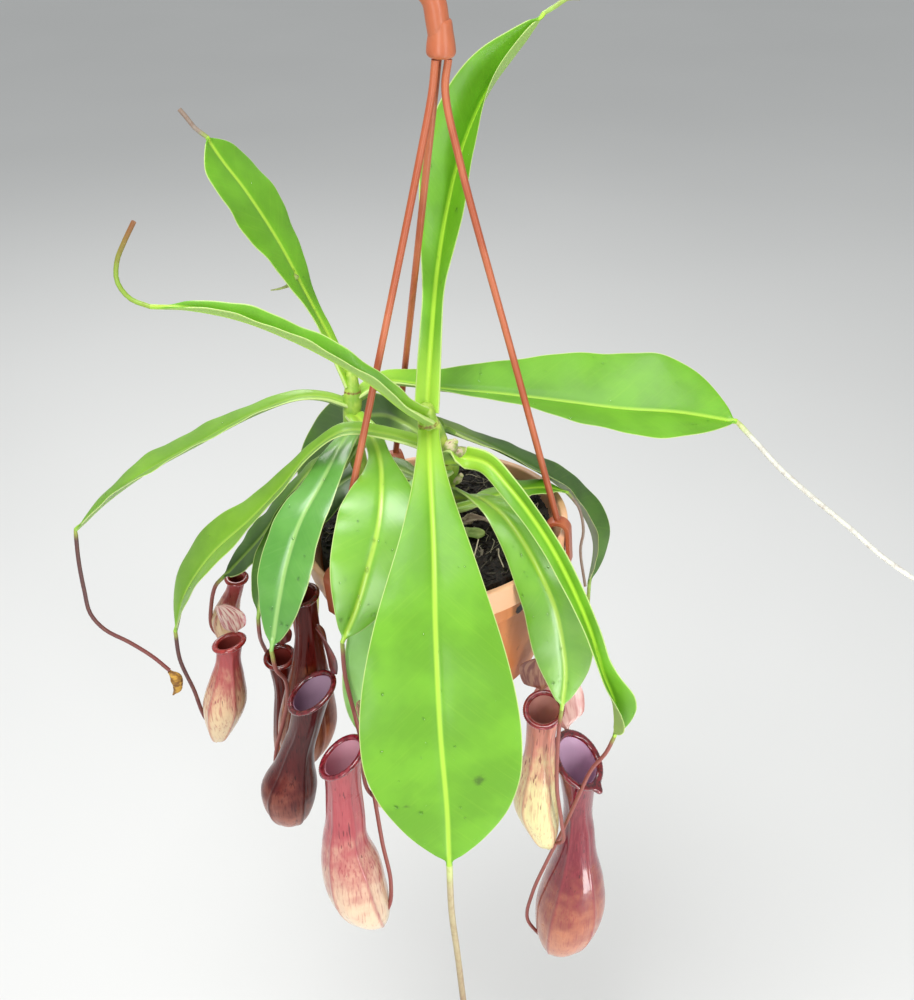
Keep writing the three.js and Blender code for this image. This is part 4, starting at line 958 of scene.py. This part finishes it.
def sheath_skin():
    material, tree, shader, place = new_material("pale_leaf_sheath")
    mottle = add(tree, "TexNoise", {"Vector": place, "Scale": per_mm(3), "Detail": 4.0})
    layers = [(mottle, 0.4, 0.6, 1.0, "E6D3B4"), (mottle, 0.6, 0.7, 0.7, "8A4A32")]
    fill(tree, shader, {"Base Color": painted(tree, "B4C46A", layers), "Roughness": 0.45})
    return material


STEMS = {
    "main_stem": ([(8, -2, -30), (8, -3, 0), (6, -5, 24), (7, -8, 40), (3, -12, 54), (-2, -15, 68),
                   (-3, -15, 76)], [4.5, 4.5, 5, 4.4, 5.4, 4.6, 6, 5.2, 6, 4]),
    "side_shoot": ([(-30, 4, -30), (-33, 4, 0), (-38, 6, 28), (-42, 8, 52), (-41, 12, 68),
                    (-41, 14, 80)], [4, 4, 3.6, 4, 3.8, 4.8, 4, 4.8, 3]),
}
SHEATHS = {
    "main_stem": [([(2, -13, 50), (7, -15, 54), (11, -17, 60)], [3.2, 3.6, 3.8, 1.6], 30),
                  ([(8, -6, 30), (12, -9, 33), (14, -10, 36)], [2.4, 2.6, 1.2], 20),
                  ([(5, -10, 46), (11, -8, 48), (16, -5, 47)], [3, 3, 2.8, 2.2], 30)],
    "side_shoot": [([(-41, 8, 52), (-38, 4, 56), (-37, 1, 60)], [2.8, 2.6, 1.4], 20)],
}
SCAR_ABOVE = 2.2  # a scar's line runs this far above the middle of its swelling
stem_finishes = [stem_skin(), sheath_skin()]
for node, (points, radii) in STEMS.items():
    swollen = [i for i in range(1, len(radii) - 1) if radii[i] > max(radii[i - 1], radii[i + 1])]
    places = np.array(swollen) / (len(radii) - 1)

    def scars(reach, length):
        return {"scar": bell(reach[:, None] - places * length - SCAR_ABOVE).max(axis=1)}

    stem = tube(points, radii, 90, 40, values=scars, domed=True)
    sheaths = [tube(*sheath, finish=1) for sheath in SHEATHS[node]]
    piece(node + "_grown", joined(stem, *sheaths), stem_finishes, node)
print("stems made")

# %% [markdown]
# The pot is injection-moulded polypropylene in a terracotta colour. Its skin is satin and
# slightly cloudy where the colour streaked as it flowed, with dusty smears of peat. A painted
# highlight makes the collar paler than the band under it, and a patch of painted shade sits in
# the recess just under the collar: the last argument turns both on. The hanger is the same
# plastic in a redder batch, moulded thinner and a little shinier.

# %% Moulded plastic
TILT, COLLAR = math.radians(-4.7), 14.5  # how the pot hangs, and the height of its collar
# the middle of a patch of painted shade in the recess just under the collar
SHADE_PATCH = (np.array([42.7, -50.3, -17.0]) - REST) / 1000
POT_AXIS = np.array([math.sin(TILT), 0, math.cos(TILT)])
COLLAR_LINE = (-COLLAR - REST.dot(POT_AXIS)) / 1000


def moulded_plastic(name, body, cloudy, rough, dust, collar_light_and_shade=0.0):
    material, tree, shader, place = new_material(name)
    drawn = add(tree, "VectorMath", {0: place, 1: (1, 1, 0.35)}, operation="MULTIPLY")
    flow = add(tree, "TexNoise", {"Vector": drawn, "Scale": per_mm(18), "Detail": 4.0,
                                  "Distortion": 0.6})
    specks = add(tree, "TexNoise", {"Vector": place, "Scale": per_mm(3.5), "Detail": 5.0})
    height = add(tree, "VectorMath", {0: place, 1: POT_AXIS}, operation="DOT_PRODUCT")
    off_shade_patch = add(tree, "VectorMath", {0: place, 1: SHADE_PATCH}, operation="DISTANCE")
    ragged = add(tree, "Math", {0: specks, 1: -0.006, 2: off_shade_patch.outputs["Value"]},
                 operation="MULTIPLY_ADD")
    layers = [
        (flow, 0.35, 0.7, 1.0, cloudy),
        # painted highlight: the collar is lighter, as if lit from above
        (height.outputs["Value"], COLLAR_LINE, COLLAR_LINE + 0.0008, 0.8 * collar_light_and_shade, "FAC79C"),
        (specks, 0.62, 0.8, dust, "5A3A28"),
        # painted shade: a dark, ragged patch in the recess just under the collar
        (ragged, 0.0004, -0.0008, collar_light_and_shade, "20120C"),
    ]
    grain = add(tree, "TexNoise", {"Vector": place, "Scale": per_mm(0.9), "Detail": 1.0})
    fill(tree, shader, {
        "Base Color": painted(tree, body, layers),
        "Roughness": add(tree, "MapRange", {"Value": specks, "To Min": rough - 0.08,
                                            "To Max": rough + 0.14}),
        "Normal": add(tree, "Bump", {"Height": grain, "Strength": 0.12, "Distance": 0.0003}),
        "IOR": 1.49,  # polypropylene
        "Subsurface Weight": 0.08,
        "Subsurface Radius": (0.004, 0.002, 0.001),
        "Subsurface Scale": 1.0,
    })
    return material


pot_plastic = moulded_plastic("terracotta_polypropylene", "C47238", "D6864A", 0.42, 0.5, 1.0)
hanger_plastic = moulded_plastic("hanger_polypropylene", "A85434", "C06E4A", 0.34, 0.15)
print("plastics:", pot_plastic.name, hanger_plastic.name)

# %% [markdown]
# The pot is turned from its profile with every corner rounded, then tilted to hang a little
# high on its right. Four drain holes are cut through its floor with a Boolean, which is applied
# at once.

# %% Turn the pot
RIM, LIP, HEIGHT, BAND, FLOOR = 70, 3.4, 96, 24, 2
DRAIN, DRAIN_CIRCLE, DRAINS = 4.0, 24, 4  # radius of a hole, of their circle, and their number
AXIS = 0.4  # the turned profile starts at a pinhole, so that no point repeats
OUTSIDE = [(36, -HEIGHT), (42, -92), (50, -82), (54, -68), (61.5, -BAND), (65.5, -BAND),
           (66.5, -COLLAR), (68.8, -COLLAR), (RIM, 0)]
INSIDE = [(RIM - LIP, 0), (62.5, -COLLAR), (59, -BAND), (52, -68), (48, -81), (40.5, -90),
          (35, -HEIGHT + FLOOR)]


def tilted(points):
    x, y, z = np.moveaxis(points, -1, 0)
    x, z = rotated(x, z, -TILT)
    return np.stack([x, y, z], axis=-1)


def rounded(profile, radius, steps=4):
    corners = np.array(profile, float)
    made = [corners[0]]
    share = np.linspace(0, 1, steps + 1)[:, None]
    for before, corner, after in zip(corners, corners[1:], corners[2:]):
        arms = [before - corner, after - corner]
        start, end = (corner + unit(arm) * min(radius, 0.45 * np.linalg.norm(arm)) for arm in arms)
        made += list((1 - share) ** 2 * start + 2 * share * (1 - share) * corner + share**2 * end)
    return np.array([*made, corners[-1]])


def lathe(profile, segments=192):
    turn = full_turn(segments)
    r, z = profile[:, :1], profile[:, 1:]
    return np.stack([r * np.cos(turn), r * np.sin(turn), z + 0 * turn], axis=-1)


def cut_away(target, part):
    """Takes a part away from the target for good."""
    cutter = linked("cutter", mesh_of("cutter", part))
    boolean = target.modifiers.new("cut", "BOOLEAN")
    boolean.object, boolean.solver = cutter, "EXACT"
    graph = bpy.context.evaluated_depsgraph_get()
    shape = bpy.data.meshes.new_from_object(target.evaluated_get(graph))
    target.modifiers.clear()
    target.data = shape
    bpy.data.objects.remove(cutter)


profile = rounded([(AXIS, -HEIGHT), *OUTSIDE, *INSIDE, (AXIS, -HEIGHT + FLOOR)], 1.1)
pot = piece("hanging_pot", skin(tilted(lathe(profile))), [pot_plastic], "pot", sharp=40)
for i in range(DRAINS):
    angle = 2 * math.pi * (i + 0.5) / DRAINS
    bore = lathe(np.array([(DRAIN, -HEIGHT - 6), (DRAIN, -HEIGHT + 8)]), 48)
    aside = np.array([*polar(DRAIN_CIRCLE, angle), 0])
    cut_away(pot, skin(tilted(bore + aside)))
print("pot faces:", len(pot.data.polygons))

# %% [markdown]
# The hanger's rods run from the clips up to the hook's collar. A clip is a flat strap bent over
# the rim with a toe that catches below the pot's collar: its outline is drawn in the plane of
# the pot's radius, pulled out to the strap's depth, and its edges are rounded with a bevel.

# %% Clips, rods and hook
FEET = [-15, -136, 110]  # where the three clips sit round the rim, in degrees
GATHER, HOOK_FOOT = np.array([3.0, 0, 218]), np.array([5.0, 0, 236])  # where the rods meet and end
ROD, SPREAD, SEAT = 1.7, 3.2, 0.3  # radius of a rod, its distance from the middle, a clip's play
GAP, STRAP, DEPTH, LEG, OUTER_LEG, TOE, ARCH_RISE = 8.6, 2.3, 7, 8, 17, 2, 2  # of a clip


def on_rim(points, angle):
    """From the clip's own frame, x outward from the rim's edge and z up, to the pot's rim."""
    x, y, z = np.moveaxis(np.asarray(points, float), -1, 0)
    x, y = rotated(x + RIM, y, math.radians(angle))
    return tilted(np.stack([x, y, z], axis=-1))


def clip_outline():
    inside, middle = GAP / 2, SEAT - GAP / 2
    outside, toe_top = inside + STRAP, -COLLAR - SEAT
    over = np.linspace(0, math.pi, 25)
    outer = [(middle + x, ARCH_RISE + z) for x, z in (polar(outside, a) for a in over)]
    inner = [(middle + x, ARCH_RISE + z) for x, z in (polar(inside, a) for a in over[::-1])]
    toe = middle + inside - TOE
    return [*outer, (middle - outside, -LEG), (middle - inside, -LEG), *inner,
            (middle + inside, toe_top), (toe, toe_top), (toe, -OUTER_LEG),
            (middle + outside, -OUTER_LEG)]


def clip_part(angle):
    outline = clip_outline()
    shape = bmesh.new()
    near = [shape.verts.new((x, -DEPTH / 2, z)) for x, z in outline]
    far = [shape.verts.new((x, DEPTH / 2, z)) for x, z in outline]
    shape.faces.new(near)
    shape.faces.new(far[::-1])
    for i, _ in enumerate(outline):
        j = (i + 1) % len(outline)
        shape.faces.new((near[j], near[i], far[i], far[j]))
    shape.normal_update()
    edges = [e for e in shape.edges if e.calc_face_angle(0) > math.radians(30)]
    bmesh.ops.bevel(shape, geom=edges, offset=0.45, segments=3, profile=0.5, affect="EDGES")
    bmesh.ops.recalc_face_normals(shape, faces=shape.faces)
    shape.verts.ensure_lookup_table()
    points = np.array([v.co for v in shape.verts])
    faces = [[v.index for v in f.verts] for f in shape.faces]
    shape.free()
    return plain_part(on_rim(points, angle), faces)


for number, angle in enumerate(FEET, 1):
    foot = on_rim([SEAT - GAP / 2, 0, ARCH_RISE + GAP / 2 + STRAP - 1], angle)
    outward = unit((foot - GATHER) * (1, 1, 0))
    top = HOOK_FOOT + outward * SPREAD
    bend = GATHER + outward * SPREAD
    straight = between(bend, foot, 0.12)
    rod = tube([foot, between(foot, straight, 0.5), straight, between(bend, top, 0.3), top],
               [ROD, ROD], 110, 24)
    piece(f"hanger_rod_{number}", joined(rod, clip_part(angle)), [hanger_plastic],
          f"strand_{number}", sharp=35)

x, y, z = HOOK_FOOT
rise = [(x, y, z + 6), (x - 1.4, y, z + 15), (x - 3, y, z + 23), (x - 8.6, y, z + 31)]
BOW = 15  # radius of the hook's bow
bends = [polar(BOW, math.radians(a)) for a in range(175, -36, -30)]
bow = [(x + 5 + out, y, z + 38 + high) for out, high in bends]
bar = tube([*rise, *bow], [5, 5, 4.8, 4.6, 4.4, 4, 3.2], 120, 40, domed=True)
flare = rounded([(0.3, 0), (5, 0.4), (6.4, 2), (6.1, 6), (5.2, 11), (4.6, 16), (0.3, 16)], 1.6)
collar = skin(lathe(flare, 64) + HOOK_FOOT)
piece("hanger_hook", joined(bar, collar), [hanger_plastic], "hook", sharp=40)
print("hanger made: hook and", len(FEET), "rods")

# %% [markdown]
# Peat is dark, crumbly and full of fibres. The surface is a fine disc raised by fractal noise.
# Over it lie many small chips and threads, each a real bit of mesh set down by a seeded
# generator, so that every run gives the same soil. Two white fibres stand up in front, where
# the photograph shows them.

# %% Peat
def peat_skin():
    material, tree, shader, place, tone = new_material("peat", "tone")
    grit = add(tree, "TexNoise", {"Vector": place, "Scale": per_mm(1.4), "Detail": 5.0})
    layers = [(grit, 0.35, 0.7, 1.0, "2E221A"), (tone, 0, 1, 1.0, "C9BCA2")]
    fill(tree, shader, {
        "Base Color": painted(tree, "0B0806", layers),
        "Normal": add(tree, "Bump", {"Height": grit, "Strength": 0.9, "Distance": 0.001}),
        "Roughness": 0.8,
    })
    return material


SOIL_SIDES, SOIL_RINGS, SOIL_EDGE = 230, 84, 60.5  # of the disc that is the peat's surface
CHIP_EDGE, THREAD_EDGE = 59, 57  # how far out chips lie and threads start
SOIL_BELOW = [(AXIS, -93.7), (34, -93.7), (39.5, -90), (47, -81), (51, -68), (58, -BAND),
              (61.5, -COLLAR)]
FIBRES = [([(18, -50, 0), (20, -46, 6), (22, -42, 11), (23.6, -39, 15)], 0.45),
          ([(32, -30, 1), (33, -35, 5), (33, -40, 5), (35, -46, 2)], 0.4)]


def soil_height(x, y):
    crumbs = noise.fractal(Vector((x / 5.5, y / 5.5, 3.3)), 0.9, 2.1, 5)
    swells = noise.noise(Vector((x / 14, y / 14, 0.5)))
    return -3 + 1.5 * (1 - math.hypot(x, y) / RIM) + (1.5 * crumbs + 0.9 * swells)


def soil_surface():
    spots = [[polar(r, a) for a in full_turn(SOIL_SIDES)]
             for r in np.linspace(SOIL_EDGE, AXIS, SOIL_RINGS)]
    rings = [[(x, y, soil_height(x, y)) for x, y in ring] for ring in spots]
    return np.concatenate([lathe(np.array(SOIL_BELOW), SOIL_SIDES), np.array(rings)])


def anywhere(edge, rng):
    """A spot on a disc, as likely to be in one place as in another."""
    return polar(edge * math.sqrt(rng.uniform(0, 1)), rng.uniform(0, 2 * math.pi))


def chips(count, rng):
    """Flat splinters of bark and moss, each a box of eight points turned at random."""
    box = np.array([(i, j, k) for i in (-1, 1) for j in (-1, 1) for k in (-1, 1)], float)
    sides = [(0, 1, 3, 2), (4, 6, 7, 5), (0, 4, 5, 1), (2, 3, 7, 6), (0, 2, 6, 4), (1, 5, 7, 3)]
    points, faces, tones = [], [], []
    for number in range(count):
        size = rng.uniform((0.7, 0.25, 0.15), (3.6, 0.8, 0.5))
        spin, lean, roll = (rng.uniform(-most, most) for most in (math.pi, 0.6, 0.8))
        x, y = anywhere(CHIP_EDGE, rng)
        ax = np.array([*polar(math.cos(lean), spin), math.sin(lean)])
        ay = unit(np.cross(UP, ax)) * math.cos(roll) + UP * math.sin(roll)
        az = np.cross(ax, ay)
        corner = box * size * rng.uniform(0.75, 1.1, (8, 1))
        spot = np.array([x, y, soil_height(x, y) + 0.3])
        points.append(spot + corner[:, :1] * ax + corner[:, 1:2] * ay + corner[:, 2:] * az)
        faces += [[len(box) * number + i for i in side] for side in sides]
        tones += [max(0, rng.normal(0.03, 0.12))] * len(box)
    return plain_part(np.vstack(points), faces, {"tone": np.clip(tones, 0, 0.7)})


def fibre(line, radii, steps, sides, tone):
    return tube(line, radii, steps, sides, values=lambda reach, _: {"tone": 0 * reach + tone})


def threads(count, rng):
    made = []
    for _ in range(count):
        x, y = anywhere(THREAD_EDGE, rng)
        spin, length = rng.uniform(0, 2 * math.pi), rng.uniform(5, 15)
        way = np.array(polar(1, spin)) * length / 3
        line = []
        for i in range(4):
            px, py = x + way[0] * i + rng.normal(0, 0.6), y + way[1] * i + rng.normal(0, 0.6)
            reach = min(1, (THREAD_EDGE + 1) / max(math.hypot(px, py), 1))
            px, py = px * reach, py * reach
            line.append((px, py, soil_height(px, py) + rng.uniform(0.2, 2.2)))
        made.append(fibre(line, [0.22, 0.16], 9, 5, float(rng.uniform(0.2, 0.95))))
    return made


rng = np.random.default_rng(11)
peat = peat_skin()
ground = skin(soil_surface())
fibres = [fibre(line, [thick, 0.3], 20, 8, 1.0) for line, thick in FIBRES]
soil = joined(ground, chips(1500, rng), *threads(130, rng), *fibres)
soil["points"] = tilted(soil["points"])
piece("peat_soil", soil, [peat], "soil", sharp=60)
print("soil triangles:", totals["peat_soil"])

# %% [markdown]
# Small things: the dried bud at the end of one tendril, a withered leaf, the stub of a cut leaf
# and a pale root. Dry tissue has no wax left, so it is matt and finely wrinkled.

# %% Dry and pale tissue
def plain_tissue(name, light, dark, rough, wrinkle):
    material, tree, shader, place = new_material(name)
    drawn = add(tree, "VectorMath", {0: place, 1: (0.4, 1, 1)}, operation="MULTIPLY")
    lines = add(tree, "TexNoise", {"Vector": drawn, "Scale": per_mm(wrinkle), "Detail": 4.0,
                                   "Distortion": 0.5})
    layers = [(lines, 0.35, 0.65, 1.0, light)]
    fill(tree, shader, {
        "Base Color": painted(tree, dark, layers),
        "Normal": add(tree, "Bump", {"Height": lines, "Strength": 0.7, "Distance": 0.0008}),
        "Roughness": rough,
    })
    return material


bud = tube([(-148, -18, -88), (-145, -18, -93), (-145, -18, -100), (-148, -18, -105)],
           [1.2, 3.4, 2.6, 0.6], 40, 24, domed=True)
withered, _ = leaf_part(dict(
    rib=[(8, -5, 3), (14, -7, 5), (20, -7, 8), (26, -7, 7)], tendril=[(30, -8, 5), (31, -9, 3)],
    sides=[(0.1, 0.8, 0.6)], half=3.4, peak=0.55, stalk=2, fold=(10, 20), wave=1.6))
withered["finish"] = [0] * len(withered["finish"])
stub, _ = leaf_part(dict(
    rib=[(8, -6, 5), (14, -13, 4), (20, -15, 4), (26, -16, 4)], sides=[(0.3, 0.8, 0.5)],
    half=3.4, peak=0.75, stalk=1.8, pointed=8))
root = tube([(7, -6, 0), (12, -15, 0), (18, -24, 0), (21, -31, -4)], [1.4, 1.2, 1], 40, 20)
for name, part, tissue, node, slot in [
    ("dried_bud_tip", bud, ("dried_bud_tissue", "C79A3E", "7D5426", 0.75, 2.0),
     "dried_bud", "dry_tissue"),
    ("withered_leaf_curl", withered, ("withered_leaf_tissue", "B9A690", "7E6A5A", 0.8, 1.6),
     "withered_leaf", "dry_tissue"),
    ("cut_leaf_stub_flesh", stub, ("cut_stub_flesh", "BCD078", "86A646", 0.5, 2.5),
     "cut_leaf_stub", "stem"),
    ("pale_root_tube", root, ("pale_root_skin", "B3BF8C", "7F8F63", 0.65, 2.0),
     "pale_root", "root"),
]:
    piece(name, part, [plain_tissue(*tissue)], node)
print("small things made")

# %% [markdown]
# The plant was watered just before the photograph: small drops stand on the leaves. A drop is a
# flattened dome of clear water that sits on the blade. Its foot is a little way inside the
# leaf, so no gap shows.

# %% Water drops
def water():
    material, tree, shader, place = new_material("clear_water")
    film = add(tree, "TexNoise", {"Vector": place, "Scale": per_mm(1.5)})
    fill(tree, shader, {
        "Base Color": linear("FBFFFB"),
        "Roughness": add(tree, "MapRange", {"Value": film, "To Min": 0.0, "To Max": 0.06}),
        "Transmission Weight": 1.0,
        "IOR": 1.333,
    })
    return material


DROP_SIDES, DROP_LEVELS = 14, (-20, 0, 22, 42, 60, 76)  # the rings' places on a ball, in degrees
DROP_STRETCH = 1.25  # along the leaf


def drop(spot, way, across, size, flat):
    """Rings of a dome from its foot to its top."""
    level = np.radians(DROP_LEVELS)
    turn = full_turn(DROP_SIDES)
    up = np.cross(way, across)
    reach = (size * np.cos(level))[:, None]
    ahead, aside = DROP_STRETCH * reach * np.cos(turn), reach * np.sin(turn)
    high = (size * flat * np.sin(level))[:, None, None]
    return skin(spot + (way * ahead[..., None] + across * aside[..., None] + up * high))


DROPS = {"leaf_front": 30, "leaf_right": 26, "leaf_centre_left": 34, "leaf_left_front": 16,
         "leaf_right_inner": 34, "leaf_right_outer": 28, "leaf_centre_under": 12, "leaf_left": 14,
         "leaf_lower_left": 10, "leaf_up": 12, "leaf_upper_left": 10, "leaf_small_right": 8,
         "leaf_back_right": 8}
drops = []
for node, count in DROPS.items():
    top = leaf_tops[node]
    for _ in range(count):
        i = int(rng.uniform(0.25, 0.93) * (len(top) - 2)) + 1
        j = int(rng.integers(2, len(ACROSS) - 3))
        way = unit(top[i + 1, j] - top[i - 1, j])
        across = top[i, j] - top[i, j + 1]
        across = unit(across - way * across.dot(way))
        size = float(np.clip(rng.lognormal(-0.9, 0.45), 0.2, 1.0))
        spot = between(top[i, j], top[i, j + 1], rng.uniform(0, 1))
        drops.append(drop(spot, way, across, size, rng.uniform(0.4, 0.7)))
piece("water_drops", joined(*drops), [water()])
print("drops:", len(drops))

# %% [markdown]
# The set is a plain pale floor well below the plant and a pale sky. A soft light hangs above
# and in front of the plant, and a tall window stands to the right of the camera. The pitchers'
# walls are nearly upright and seen from above, so they mirror what lies low in front of them: a
# small softbox near the floor draws their long highlights. Two weaker lights open the left side
# and the leaves' back edges. The standard view keeps the greens as strong as they are.

# %% Floor and light
def lamp(name, place, aim, size, power):
    light = bpy.data.lights.new(name, "AREA")
    light.shape, light.energy = "RECTANGLE", power
    light.size, light.size_y = size
    made = linked(name, light)
    made.location = place
    made.rotation_euler = (Vector(aim) - Vector(place)).to_track_quat("-Z", "Y").to_euler()


floor_material, tree, shader, place = new_material("pale_studio_paper")
cloud = add(tree, "TexNoise", {"Vector": place, "Scale": 1.5, "Detail": 2.0})
layers = [(cloud, 0.0, 1.0, 1.0, "E4E4E2")]
fill(tree, shader, {"Base Color": painted(tree, "DEDEDC", layers), "Roughness": 0.9})
bpy.ops.mesh.primitive_plane_add(size=30, location=(0, 0, -0.78))
studio_floor = bpy.context.object
studio_floor.name = "studio_floor"
studio_floor.data.materials.append(floor_material)

world = bpy.data.worlds.new("pale_sky")
bpy.context.scene.world = world
world.use_nodes = True
background = world.node_tree.nodes["Background"]
fill(world.node_tree, background, {"Color": linear("EDF0F2"), "Strength": 0.56})
middle = (0.0, 0.0, -0.3)  # of the plant
lamp("overhead_light", (-0.3, -0.35, 0.95), (0.0, 0.0, -0.2), (0.7, 0.7), 15)
lamp("tall_window", (1.2, -1.5, 0.0), middle, (0.3, 1.3), 13)
lamp("low_softbox", (0.42, -0.5, -0.68), (0.03, -0.03, -0.45), (0.16, 0.24), 1.5)
lamp("front_fill", (-0.5, -1.65, -0.1), middle, (0.35, 0.8), 9)
lamp("back_edge", (-0.4, 1.2, 0.7), middle, (0.7, 0.7), 9)
bpy.context.scene.view_settings.view_transform = "Standard"
print("pieces:", len(totals), "triangles:", sum(totals.values()))
